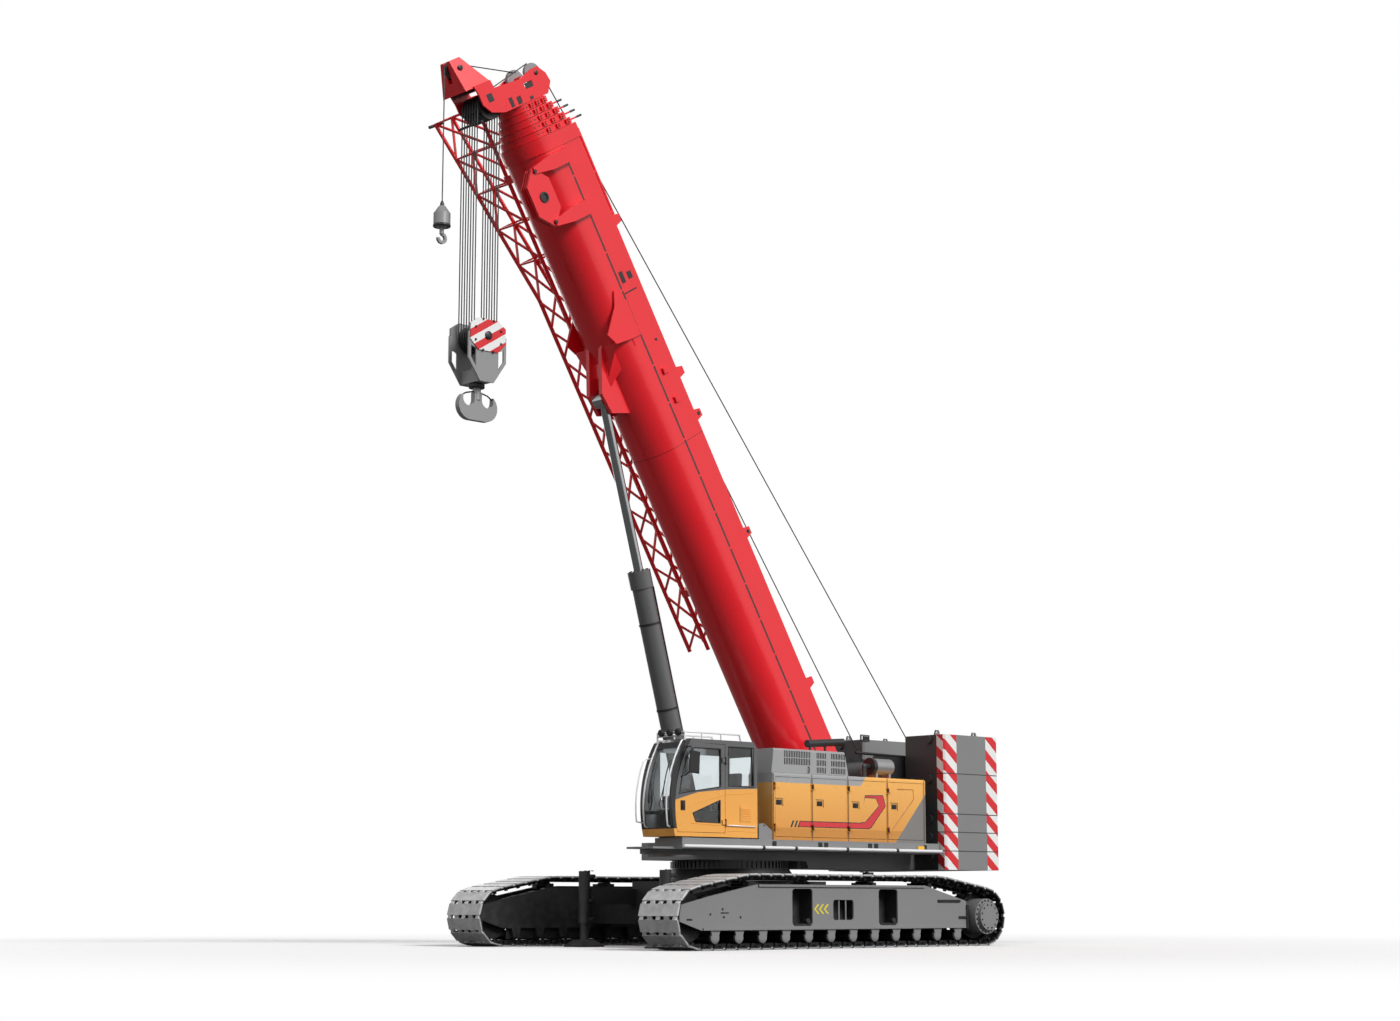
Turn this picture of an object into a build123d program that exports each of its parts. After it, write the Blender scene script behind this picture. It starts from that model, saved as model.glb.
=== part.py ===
"""Telescopic crawler crane: two crawlers, slewing upper works, luffing six-section boom.

Millimetres. +X is the crane's front, +Y its left (cab) side, +Z up.
The origin lies on the ground under the slewing axis.
"""
from build123d import *
import math
import os

# Tracks and crawler frames
track_half_length = 4200.0
track_half_width = 3138.0
shoe_width = 980.0
shoe_count = 64
shoe_gap = 48.0
shoe_groove = 42.0
finger_width = 150.0
finger_offset = 205.0
track_thickness = 112.0
wheel_z = 540.0
wheel_x = 3660.0
top_run_z = 1285.0
top_run_front = 2500.0
top_run_rear = -2400.0
wheel_width = 300.0
axle_radius = 90.0
running_gap = 0.3
frame_plate = 60.0
frame_inset = 148.0
frame_depth = 640.0
frame_bottom = 330.0
frame_top = 1100.0
ledge_height = 40.0
ledge_reach = 30.0
hatch_front = 330.0
hatch_rear = -190.0
hatch_bottom = 490.0
hatch_top = 840.0
hatch_depth = 250.0
hatch_bar = 18.0
roller_count = 12
roller_front = 3180.0
roller_rear = -3000.0
roller_radius = 92.0
carrier_radius = 52.0
carrier_places = (2300.0, 800.0, -800.0, -2300.0)
final_drive_radius = 325.0
final_drive_proud = 62.0
final_drive_step = 70.0

# Car body, jacks and slewing ring
beam_x = 1100.0
beam_width = 500.0
beam_bottom = 400.0
beam_top = 1045.0
body_half_length = 1400.0
body_half_width = 1150.0
body_bottom = 480.0
body_top = 1180.0
pedestal_radius = 1120.0
pedestal_flare = 140.0
ring_bottom = 1400.0
ring_top = 1560.0
ring_radius = 1075.0
ring_bore = 880.0
ring_teeth = 72
ring_tooth = 28.0
ring_seat = 0.3
jack_x = 2500.0
jack_y = 1100.0
jack_top = 1360.0
jack_radius = 105.0
jack_rod = 78.0
jack_sleeve_bottom = 420.0
jack_foot = 520.0
jack_foot_rim = 25.0
jack_foot_height = 130.0
jack_socket = 260.0

# Upper frame, decks and houses
lane_half = 600.0
side_plate = 180.0
frame_front = 1500.0
foot_ear = 330.0
deck_half = 1500.0
deck_front = 2570.0
deck_rear = -4200.0
step_front = 3080.0
step_thickness = 36.0
tilt_lug = 50.0
deck_bottom = 1720.0
deck_top = 1920.0
rail_z = 1770.0
rail_radius = 32.0
house_front = 290.0
house_rear = -3880.0
house_inner_y = 820.0
house_outer_y = 1450.0
house_top = 3145.0
house_wall = 40.0
house_round = 45.0
house_door_splits = (250.0, -730.0, -1700.0, -2790.0, -3840.0)
house_door_bottom = 1975.0
house_door_top = 3070.0
house_hinges = (2150.0, 2900.0)
door_gap = 8.0
cowl_rear = -1710.0
cowl_top = 3590.0
grilles = (
    (-30.0, -750.0, (3435.0, 3300.0), 120.0),
    (-890.0, -1180.0, (3440.0, 3305.0, 3170.0), 105.0),
    (-1280.0, -1705.0, (3440.0, 3305.0, 3170.0), 105.0),
)
slat_pitch = 44.0
slat_width = 24.0
slat_depth = 25.0
silencer_front = -2650.0
silencer_rear = -3190.0
silencer_y = 1150.0
silencer_z = 3370.0
silencer_radius = 155.0
elbow_radius = 52.0
exhaust_front = (-1068.0, 3742.0)
exhaust_rear = (-2048.0, 3816.0)
exhaust_y = 1000.0
exhaust_radius = 70.0
exhaust_posts = (-1150.0, -1560.0)
exhaust_post_radius = 25.0
tank_front = -300.0
tank_top = 2600.0
tank_round = 80.0

# Counterweight and winches
ballast_front = -4290.0
ballast_rear = -5900.0
ballast_half = 1600.0
ballast_levels = (1420.0, 1783.0, 2149.0, 2502.0)
block_levels = (2502.0, 3287.0, 4050.0)
ballast_gap_half = 550.0
slab_joint = 0.5
ballast_chamfer = 35.0
peg_radius = 82.0
peg_length = 45.0
peg_y = 1200.0
peg_drop = 95.0
lifting_eye = 28.0
drum_radius = 330.0
drum_flange = 430.0
drum_half = 455.0
main_drum = (-4900.0, 3250.0)
aux_drum = (-3780.0, 3210.0)
line_radius = 11.0
line_y = 250.0

# Cab
cab_rear = 730.0
cab_inner_y = 660.0
cab_outer_y = 1500.0
cab_bottom = 1940.0
cab_top = 3660.0
cab_nose = 2740.0
cab_bulge = (2815.0, 2520.0)
cab_brow = (2490.0, 3600.0)
cab_wall = 50.0
cab_door_rear = 1530.0
cab_door_margin = 70.0
cab_door_frame = 90.0
cab_sill_rear = 2830.0
cab_sill_front = 2640.0
cab_hinges = (2200.0, 3300.0)
glass_inset = 20.0
glass_thickness = 8.0

# Boom, seen along its own axis from the foot pin
luff_angle = 58.7
boom_pin = (-1850.0, 2520.0)
boom_pin_radius = 110.0
boom_width = 1100.0
boom_depth = 1250.0
boom_axis_height = 350.0
boom_rise = 680.0
boom_tail = -550.0
boom_head_end = 13720.0
boom_wall = 14.0
section_count = 6
section_step = 45.0
section_tail = 520.0
collar_length = 118.0
collar_pitch = 130.0
collar_rim = 24.0
collar_gap = 6.0
pad_length = 250.0
collar_block = 36.0
collar_blocks = 3
collar_rod = 16.0
head_plate = 30.0
head_sheave = (14580.0, -430.0)
head_pin_radius = 60.0
head_sheave_radius = 236.0
nose_sheave = (15400.0, -670.0)
nose_sheave_radius = 190.0
nose_root = 14985.0
nose_tip = 15580.0
nose_slot = 50.0
small_pin_radius = 45.0
idler = (14800.0, 820.0)
idler_radius = 200.0

# Stowed jib, in the boom's own frame
jib_gap = 200.0
jib_width = 520.0
jib_low = 160.0
jib_high = 600.0
jib_mounts = (4720.0, 8510.0, 13210.0)
jib_start = 3500.0
jib_knee = 10900.0
jib_end = 14620.0
jib_spread = 1270.0
chord_radius = 38.0
lacing_size = 36.0
lacing_bays = 12
spread_bays = 5

# Luffing cylinder
eye_along = 8900.0
eye_below = 465.0
eye_radius = 165.0
eye_pin_radius = 80.0
eye_half = 130.0
cylinder_foot = (932.0, 2049.0)
barrel_length = 4950.0
barrel_radius = 190.0
gland_radius = 215.0
rod_radius = 90.0
rod_length = 5000.0
foot_half = 290.0

# Hooks
fall_sheaves = 7
fall_pitch = 74.0
fall_radius = 11.0
block_sheave_z = 10565.0
block_top = 10850.0
block_bottom = 9740.0
block_half = 290.0
block_reach = 385.0
block_cover = 20.0
block_pin_radius = 55.0
hook_bottom = 9085.0
hook_bow = 250.0
hook_spread = 170.0
hook_throat = 125.0
hook_thickness = 110.0
shank_radius = 75.0
aux_ball_top = 12800.0
aux_ball_height = 380.0
aux_ball_radius = 150.0
aux_hook_drop = 300.0

# Door hinges
hinge_pin = 12.0
hinge_knuckle = 22.0
hinge_height = 78.0
hinge_stand = 24.0

frame_outer_y = track_half_width - frame_inset
final_drive_y = track_half_width + final_drive_proud
aux_ball_bottom = aux_ball_top - aux_ball_height
aux_hook_bottom = aux_ball_bottom - aux_hook_drop
boom_top = boom_axis_height + boom_rise
boom_belly = boom_top - boom_depth

luff = math.radians(luff_angle)
along = (math.cos(luff), math.sin(luff))
above = (-math.sin(luff), math.cos(luff))
boom_frame = Plane(
    origin=(boom_pin[0], 0, boom_pin[1]),
    x_dir=(along[0], 0, along[1]),
    z_dir=(above[0], 0, above[1]),
)


def on_boom(x, z):
    """World (x, z) of a point given along and above the boom's foot pin."""
    return (
        boom_pin[0] + along[0] * x + above[0] * z,
        boom_pin[1] + along[1] * x + above[1] * z,
    )


rod_eye = on_boom(eye_along, -eye_below)
cylinder_lean = math.atan2(rod_eye[1] - cylinder_foot[1], rod_eye[0] - cylinder_foot[0])


def block(x0, x1, y0, y1, z0, z1):
    """Box between two corners."""
    centre = ((x0 + x1) / 2, (y0 + y1) / 2, (z0 + z1) / 2)
    return Pos(*centre) * Box(abs(x1 - x0), abs(y1 - y0), abs(z1 - z0))


def sheet(face, y0, y1):
    """Side-view face, drawn in (x, z), carried from y0 to y1."""
    outline = Plane((0, max(y0, y1), 0), x_dir=(1, 0, 0), z_dir=(0, -1, 0)) * face
    return extrude(outline, amount=abs(y1 - y0), dir=(0, -1, 0))


def plate(points, y0, y1):
    """Side-view outline of straight edges carried from y0 to y1."""
    return sheet(Polygon(*points, align=None), y0, y1)


def across(x, z, radius, y0, y1):
    """Round bar lying across the crane."""
    return Pos(x, (y0 + y1) / 2, z) * Rot(90, 0, 0) * Cylinder(radius, abs(y1 - y0))


def upright(x, y, radius, z0, z1):
    """Round bar standing up."""
    return Pos(x, y, (z0 + z1) / 2) * Cylinder(radius, abs(z1 - z0))


def lengthwise(y, z, radius, x0, x1):
    """Round bar running fore and aft."""
    return Pos((x0 + x1) / 2, y, z) * Rot(0, 90, 0) * Cylinder(radius, abs(x1 - x0))


def square_bar(start, end, size):
    """Square bar between two points."""
    a = Vector(*start)
    b = Vector(*end)
    middle = Plane(origin=(a + b) * 0.5, z_dir=b - a)
    return middle.location * Box(size, size, (b - a).length)


def round_bar(start, end, radius):
    """Round bar between two points."""
    a = Vector(*start)
    b = Vector(*end)
    middle = Plane(origin=(a + b) * 0.5, z_dir=b - a)
    return middle.location * Cylinder(radius, (b - a).length)


def both_sides(shape):
    """The shape and its mirror image on the other side of the crane."""
    return [shape, mirror(shape, about=Plane.XZ)]


def save(name, *solids):
    """Write one node's solids."""
    flat = []
    for item in solids:
        flat.extend(item if isinstance(item, list) else [item])
    shape = flat[0] if len(flat) == 1 else Compound(children=[s for item in flat for s in item.solids()])
    export_step(shape, f"parts/{name}.step")


# Track loop: arcs round the wheels, straight runs between, flat shoes along it
wheel_outer = track_half_length - wheel_x


def loop_points(inset, count):
    """Equally spaced points on the track's loop, counter-clockwise from the bottom front."""
    radius = wheel_outer - inset
    low = wheel_z - radius
    high = top_run_z - inset
    front = (wheel_x, wheel_z)
    rear = (-wheel_x, wheel_z)
    front_lift = tangent_angle(front, radius, (top_run_front, high))
    rear_lift = math.pi - tangent_angle((-rear[0], rear[1]), radius, (-top_run_rear, high))
    legs = [
        arc_leg(front, radius, -math.pi / 2, front_lift),
        line_leg(arc_end(front, radius, front_lift), (top_run_front, high)),
        line_leg((top_run_front, high), (top_run_rear, high)),
        line_leg((top_run_rear, high), arc_end(rear, radius, rear_lift)),
        arc_leg(rear, radius, rear_lift, 1.5 * math.pi),
        line_leg((-wheel_x, low), (wheel_x, low)),
    ]
    total = sum(length for length, _ in legs)
    points = []
    for i in range(count):
        s = total * i / count
        for length, place in legs:
            if s < length:
                points.append(place(s / length))
                break
            s -= length
    return points


def arc_end(centre, radius, angle):
    return (centre[0] + radius * math.cos(angle), centre[1] + radius * math.sin(angle))


def tangent_angle(centre, radius, point):
    """Where on the circle, counted from +X, a line to the point leaves it on its upper side."""
    dx = point[0] - centre[0]
    dz = point[1] - centre[1]
    reach = math.hypot(dx, dz)
    return math.atan2(dz, dx) - math.acos(radius / reach)


def arc_leg(centre, radius, start, end):
    def place(t):
        return arc_end(centre, radius, start + (end - start) * t)
    return radius * abs(end - start), place


def line_leg(start, end):
    def place(t):
        return (start[0] + (end[0] - start[0]) * t, start[1] + (end[1] - start[1]) * t)
    return math.dist(start, end), place


def joint_groove(before, joint, after):
    """V-shaped cut across a joint of the loop, its point towards the wheels."""
    run = (Vector(*after) - Vector(*before)).normalized()
    inward = Vector(-run.Y, run.X)
    apex = Vector(*joint) + inward * shoe_groove
    reach = shoe_groove + shoe_gap
    side = run * (shoe_gap / 2 * reach / shoe_groove)
    corners = (apex, apex - inward * reach + side, apex - inward * reach - side)
    return [(corner.X, corner.Y) for corner in corners]


def track_loop():
    """One closed loop of flat shoes; at each joint, grooves leave two fingers that bridge it."""
    ring = loop_points(0.0, shoe_count)
    face = Polygon(*ring, align=None) - Polygon(*loop_points(track_thickness, shoe_count), align=None)
    inner = track_half_width - shoe_width
    loop = sheet(face, inner, track_half_width)
    middle = (inner + track_half_width) / 2
    edges = [inner - 1]
    for y in (middle - finger_offset, middle + finger_offset):
        edges += [y - finger_width / 2, y + finger_width / 2]
    edges.append(track_half_width + 1)
    grooves = []
    for i in range(shoe_count):
        cut = joint_groove(ring[i - 1], ring[i], ring[(i + 1) % shoe_count])
        grooves += [plate(cut, y0, y1) for y0, y1 in zip(edges[::2], edges[1::2])]
    return loop - grooves


track_middle = track_half_width - shoe_width / 2
inner_loop_radius = wheel_outer - track_thickness
inner_pitch = math.dist(*loop_points(track_thickness, shoe_count)[-2:])
wheel_radius = inner_loop_radius * math.cos(inner_pitch / inner_loop_radius / 2) - running_gap
wheel_near = track_middle - wheel_width / 2
wheel_far = track_middle + wheel_width / 2
roller_z = wheel_z - wheel_outer + track_thickness + running_gap + roller_radius
carrier_z = top_run_z - track_thickness - running_gap - carrier_radius


def crawler_frame():
    """Box frame inside the track: two side plates, a core, and openings for the cross beams."""
    outline = [
        (-3240, frame_bottom), (3500, frame_bottom), (4000, 480), (4000, 750), (3300, 900), (2200, frame_top),
        (-2100, frame_top), (-3240, 820),
    ]
    inner_y = frame_outer_y - frame_depth
    outer_plate = plate(outline, frame_outer_y - frame_plate, frame_outer_y)
    motor_end = [(-3240, frame_bottom), (-3950, 420), (-3950, 680), (-3240, 820)]
    inner_plate = plate(outline, inner_y, inner_y + frame_plate)
    inner_plate += plate(motor_end, inner_y, inner_y + frame_plate)
    core = plate(
        [(-3100, 360), (3050, 360), (3050, 880), (2200, 1060), (-2100, 1060), (-3100, 800)],
        inner_y + frame_plate, frame_outer_y - frame_plate,
    )
    ledge_y = frame_outer_y + ledge_reach
    ledge = block(-3200, 3480, frame_outer_y - 1, ledge_y, frame_bottom, frame_bottom + ledge_height)
    shelf = block(-2080, 2180, frame_outer_y - 1, ledge_y, frame_top - ledge_height, frame_top)
    frame = outer_plate + inner_plate + core + ledge + shelf
    for x in (beam_x, -beam_x):
        opening = block(x - beam_width / 2, x + beam_width / 2, frame_outer_y - 320, frame_outer_y + 10,
                        beam_bottom, beam_top - 15)
        frame -= fillet(opening.edges().filter_by(Axis.Y), 60)
    hatch = block(hatch_rear, hatch_front, frame_outer_y - hatch_depth, frame_outer_y + 10,
                  hatch_bottom, hatch_top)
    frame -= fillet(hatch.edges().filter_by(Axis.Y), 50)
    for share in (1 / 3, 2 / 3):
        x = hatch_rear + (hatch_front - hatch_rear) * share
        frame += upright(x, frame_outer_y - 2 * hatch_bar, hatch_bar, hatch_bottom - 5, hatch_top + 5)
    for x in roller_places():
        ear = [(x - 110, frame_bottom + 15), (x - 60, roller_z - 40), (x + 60, roller_z - 40),
               (x + 110, frame_bottom + 15)]
        frame += plate(ear, inner_y, inner_y + frame_plate)
        frame += plate(ear, frame_outer_y - frame_plate, frame_outer_y)
    for x in carrier_places:
        for y0, y1 in ((inner_y + 60, wheel_near - running_gap), (wheel_far + running_gap, frame_outer_y - 60)):
            frame += block(x - 50, x + 50, y0, y1, 1050, carrier_z + 25)
    return frame


def roller_places():
    """Bottom rollers' stations along the track."""
    step = (roller_front - roller_rear) / (roller_count - 1)
    return [roller_front - i * step for i in range(roller_count)]


def roller_set():
    """Bottom rollers under the frame and carrier rollers over it."""
    near = frame_outer_y - frame_depth + frame_plate + running_gap
    far = frame_outer_y - frame_plate - running_gap
    rollers = [across(x, roller_z, roller_radius, near, far) for x in roller_places()]
    rollers += [across(x, carrier_z, carrier_radius, wheel_near, wheel_far) for x in carrier_places]
    return rollers


axle_near = frame_outer_y - frame_depth + frame_plate + running_gap
axle_far = frame_outer_y - frame_plate - running_gap
idler_wheel = across(wheel_x, wheel_z, wheel_radius, wheel_near, wheel_far)
idler_wheel += across(wheel_x, wheel_z, axle_radius, axle_near, axle_far)
sprocket = across(-wheel_x, wheel_z, wheel_radius, wheel_near, wheel_far)
sprocket += across(-wheel_x, wheel_z, axle_radius, axle_near, wheel_near + 1)
final_drive = across(-wheel_x, wheel_z, final_drive_radius, wheel_far, final_drive_y - final_drive_step)
final_drive += across(-wheel_x, wheel_z, final_drive_radius - final_drive_step, wheel_far, final_drive_y)


def car_body():
    """Centre box with two cross beams and the ring pedestal."""
    reach = frame_outer_y - frame_depth
    body = block(-body_half_length, body_half_length, -body_half_width, body_half_width, body_bottom, body_top)
    for x in (beam_x, -beam_x):
        body += block(x - beam_width / 2, x + beam_width / 2, -reach, reach, beam_bottom, beam_top)
    pedestal = Cone(pedestal_radius + pedestal_flare, pedestal_radius, ring_bottom - body_top)
    body += Pos(0, 0, (ring_bottom + body_top) / 2) * pedestal
    for x in (jack_x, -jack_x):
        for y in (jack_y, -jack_y):
            inner = math.copysign(body_half_length - 200, x)
            side = math.copysign(body_half_width - 250, y)
            body += block(inner, x, side - 130, side + 330 if y > 0 else side - 330, 760, 1040)
    return body


def jacks():
    """Four support legs: a sleeve, its rod and a pyramid foot set on the ground."""
    legs = []
    for x in (jack_x, -jack_x):
        for y in (jack_y, -jack_y):
            leg_x = x + math.copysign(jack_radius + running_gap, x)
            leg = upright(leg_x, y, jack_radius, jack_sleeve_bottom, jack_top)
            leg += upright(leg_x, y, jack_rod, jack_foot_rim, jack_sleeve_bottom + 1)
            half = jack_foot / 2
            leg += block(leg_x - half, leg_x + half, y - half, y + half, 0, jack_foot_rim)
            low = Pos(leg_x, y, jack_foot_rim) * Rectangle(jack_foot, jack_foot)
            high = Pos(leg_x, y, jack_foot_height) * Rectangle(jack_socket, jack_socket)
            legs.append(leg + loft([low, high]))
    return legs


def slew_ring():
    """Toothed ring on the pedestal."""
    ring = upright(0, 0, ring_radius, ring_bottom, ring_top)
    teeth = []
    for i in range(ring_teeth):
        turn = Rot(0, 0, 360 * i / ring_teeth)
        teeth.append(turn * Pos(ring_radius, 0, (ring_bottom + ring_top) / 2)
                     * Box(2 * ring_tooth, 42, ring_top - ring_bottom - 40))
    ring = ring + teeth
    return ring - upright(0, 0, ring_bore, ring_bottom - 1, ring_top + 1)


def upper_frame():
    """Two deep side plates with the boom-pin ears, joined by a floor and cross members."""
    floor_low = ring_top + ring_seat
    outline = [
        (-4250, 1430), (-1320, 1430), (-1250, floor_low), (frame_front, floor_low),
        (frame_front, 1880), (600, 1900),
        (-900, 2250), (-1500, 2700), (-1700, 2850), (-2020, 2850), (-2250, 2600), (-2700, 2350), (-4250, 2300),
    ]
    frame = plate(outline, lane_half, lane_half + side_plate)
    frame += plate(outline, -lane_half, -lane_half - side_plate)
    frame += block(-1250, frame_front, -lane_half - 1, lane_half + 1, floor_low, floor_low + 60)
    frame += block(-4250, -1300, -lane_half - 1, lane_half + 1, 1430, 1490)
    frame += block(-1300, -1200, -lane_half - 1, lane_half + 1, 1430, floor_low + 60)
    frame += block(ballast_front + running_gap, -4249, -780, 780, 1430, 2300)
    frame += block(-4250, -3300, -lane_half - 1, lane_half + 1, 2120, 2200)
    pin_end = lane_half + side_plate + 30
    frame += across(boom_pin[0], boom_pin[1], boom_pin_radius, -pin_end, pin_end)
    foot = cylinder_foot
    for side in (1, -1):
        ear = plate([(foot[0] - foot_ear, 1850), (foot[0] + foot_ear, 1850), (foot[0] + 150, foot[1] + 150),
                     (foot[0] - 150, foot[1] + 150)], side * lane_half, side * (lane_half + 50))
        frame += ear + across(foot[0], foot[1], 130, side * (foot_half + running_gap), side * (lane_half + 1))
    return frame


def side_decks():
    """Walkway decks along both sides; the left one has the cab's pads, a step ahead and a tilt lug behind."""
    inner = lane_half + side_plate
    left = block(deck_rear, deck_front, inner, deck_half, deck_bottom, deck_top)
    for x in (cab_rear + 150, 2400):
        for y in (cab_inner_y + 220, cab_outer_y - 150):
            left += block(x - 90, x + 90, y - 60, y + 60, deck_top - 5, cab_bottom)
    step_low = deck_bottom + 4
    left += block(deck_front - 1, step_front, lane_half, deck_half - 200, step_low, step_low + step_thickness)
    left += block(frame_front + running_gap, step_front - 280, lane_half + 40, inner,
                  deck_bottom - 80, step_low + 1)
    lug_rear = house_front + 60
    lug_front = cab_rear - 45
    lug = plate([(lug_rear, deck_top - 5), (lug_front, deck_top - 5), (lug_front, deck_top + 250),
                 (lug_front - 65, deck_top + 285), (lug_front - 145, deck_top + 285),
                 (lug_rear, deck_top + 160)], deck_half - 10 - tilt_lug, deck_half - 10)
    left += lug - across(cab_rear - 180, deck_top + 248, 18, deck_half - 100, deck_half)
    right = block(deck_rear, tank_front + 100, -inner, -deck_half, deck_bottom, deck_top)
    return [left, right]


def side_rails():
    """Round handrail tubes along the deck edges."""
    left = lengthwise(deck_half + rail_radius, rail_z, rail_radius, deck_front, -4240)
    right = lengthwise(-deck_half - rail_radius, rail_z, rail_radius, tank_front, -4240)
    return [left, right]


def hinge_post(x, y, z, toward):
    """Fixed half of a door hinge: two lugs on the wall with a pin between, the wall lying toward -/+ X."""
    reach = hinge_height / 2 + 1
    post = upright(x, y, hinge_pin, z - reach - 20, z + reach + 20)
    for low in (z + reach, z - reach - 20):
        post += block(x - toward * 13, x + toward * 34, y - hinge_stand + 6, y + 20, low, low + 20)
        post += block(x + toward * 4, x + toward * 34, y - hinge_stand - 6, y, low, low + 20)
    return post


def hinge_leaf(x, y, z, toward):
    """Moving half of a door hinge: a bored knuckle and its strap on the door, away from the wall."""
    half = hinge_height / 2
    leaf = upright(x, y, hinge_knuckle, z - half, z + half)
    leaf += block(x, x - toward * 90, y - hinge_stand - 3, y - 2, z - half, z + half)
    return leaf - upright(x, y, hinge_pin + running_gap, z - half - 1, z + half + 1)


def engine_house():
    """Sheet housing, open on its left side where the service doors close it."""
    shell = block(house_rear, house_front, house_inner_y, house_outer_y, deck_top, house_top)
    shell = fillet(shell.edges().filter_by(Axis.X).group_by(Axis.Z)[-1], house_round)
    shell -= block(house_rear + house_wall, house_front - house_wall, house_inner_y + house_wall,
                   house_outer_y - house_wall, deck_top + house_wall, house_top - house_wall)
    for front, rear in zip(house_door_splits, house_door_splits[1:]):
        shell -= block(rear + 20, front - 20, house_outer_y - 60, house_outer_y + 10,
                       house_door_bottom, house_door_top)
        for z in house_hinges:
            shell += hinge_post(front - 20, house_outer_y + hinge_stand, z, 1)
    return shell


def house_door(front, rear):
    """One service door, set into the left side of the housing."""
    door = block(rear + 20 + door_gap, front - 20 - door_gap, house_outer_y - house_wall, house_outer_y,
                 house_door_bottom + door_gap, house_door_top - door_gap)
    for z in house_hinges:
        door += hinge_leaf(front - 20, house_outer_y + hinge_stand, z, 1)
    return door


def engine_cowl():
    """Raised cowl over the engine with slanted ends, rounded brows and slatted grilles in its left side."""
    outline = [
        (house_front, house_top), (house_front - 60, cowl_top),
        (cowl_rear + 60, cowl_top), (cowl_rear - 40, house_top),
    ]
    side = house_outer_y - 30
    cowl = plate(outline, house_inner_y + 30, side)
    cowl = fillet(cowl.edges().filter_by(Axis.X).group_by(Axis.Z)[-1], house_round)
    slots = []
    half = slat_width / 2
    for front, rear, levels, height in grilles:
        count = int((front - rear) / slat_pitch)
        for low in levels:
            for i in range(count):
                x = front - slat_pitch * (i + 0.5)
                slots.append(block(x - half, x + half, side - slat_depth, side + 1, low, low + height))
    return cowl - slots


def tank_house():
    """Fuel and oil tanks with rounded tops on the right-hand deck."""
    tanks = []
    for front, rear, top in ((tank_front, -1100, tank_top), (-1140, house_rear, tank_top + 250)):
        tank = block(rear, front, -house_inner_y, -house_outer_y, deck_top, top)
        tanks.append(fillet(tank.edges().filter_by(Axis.X).group_by(Axis.Z)[-1], tank_round))
    return tanks


def silencer():
    """Round exhaust silencer on two cradles, with a flange and an elbow that stands on the housing."""
    can = lengthwise(silencer_y, silencer_z, silencer_radius, silencer_front, silencer_rear)
    can = fillet(can.edges().group_by(Axis.X)[0], 30)
    can += lengthwise(silencer_y, silencer_z, silencer_radius + 12, silencer_front + 40, silencer_front - 1)
    for x in (silencer_front - 90, silencer_rear + 90):
        can += block(x - 25, x + 25, silencer_y - 90, silencer_y + 90, house_top, silencer_z - 100)
    bend = silencer_front + 180
    can += lengthwise(silencer_y, silencer_z, elbow_radius, silencer_front, bend)
    can += upright(bend, silencer_y, elbow_radius, house_top, silencer_z)
    return can + Pos(bend, silencer_y, silencer_z) * Sphere(elbow_radius)


def exhaust_pipe():
    """Tail pipe over the cowl, open at its rear end, on two posts."""
    front = (exhaust_front[0], exhaust_y, exhaust_front[1])
    rear = (exhaust_rear[0], exhaust_y, exhaust_rear[1])
    rise = (rear[2] - front[2]) / (rear[0] - front[0])
    pipe = round_bar(front, rear, exhaust_radius)
    for x in exhaust_posts:
        pipe += upright(x, exhaust_y, exhaust_post_radius, cowl_top, front[2] + rise * (x - front[0]))
    mouth = (rear[0] + 300, exhaust_y, rear[2] + rise * 300)
    beyond = (rear[0] - 20, exhaust_y, rear[2] - rise * 20)
    return pipe - round_bar(mouth, beyond, exhaust_radius - 12)


def winch_frame():
    """Two winch cheeks on the rear of the upper frame, tied by cross tubes."""
    outline = [
        (-3300, 2200), (-4240, 2200), (-4240, 2503), (-5420, 2503), (-5420, 3450), (-5250, 3640),
        (-3500, 3640), (-3300, 3450),
    ]
    frame = plate(outline, drum_half, drum_half + 40) + plate(outline, -drum_half, -drum_half - 40)
    for x, z in ((-4340, 2650), (-5380, 2650), (-3360, 2300)):
        frame += across(x, z, 45, -drum_half - 1, drum_half + 1)
    return frame


def winch_drum(centre):
    drum = across(centre[0], centre[1], drum_radius, -drum_half + running_gap, drum_half - running_gap)
    for side in (1, -1):
        outer = side * (drum_half - running_gap)
        drum += across(centre[0], centre[1], drum_flange, outer, side * (drum_half - 30))
    return drum


def ballast(y0, y1, low, high):
    """One cast block with chamfered upright edges, and pegs on its front for the stacking jacks."""
    top = high - slab_joint
    weight = block(ballast_rear, ballast_front, y0, y1, low, top)
    weight = chamfer(weight.edges().filter_by(Axis.Z), ballast_chamfer)
    for y in (peg_y, -peg_y):
        if y0 < y < y1:
            weight += lengthwise(y, top - peg_drop, peg_radius, ballast_front - 1, ballast_front + peg_length)
    return weight


def lifting_lug(x, y, z):
    """Plate eye standing on a block."""
    lug = plate([(x - 90, z - 1), (x + 90, z - 1), (x + 45, z + 110), (x - 45, z + 110)], y - 15, y + 15)
    return lug - across(x, z + 65, lifting_eye, y - 20, y + 20)


def ballast_slabs():
    levels = zip(ballast_levels, ballast_levels[1:])
    return [ballast(-ballast_half, ballast_half, low, high) for low, high in levels]


def ballast_blocks():
    blocks = []
    for low, high in zip(block_levels, block_levels[1:]):
        left = ballast(ballast_gap_half, ballast_half, low, high)
        if high == block_levels[-1]:
            for x in (ballast_front - 250, ballast_rear + 250):
                left += lifting_lug(x, peg_y, high - slab_joint)
        blocks.extend(both_sides(left))
    return blocks


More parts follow.
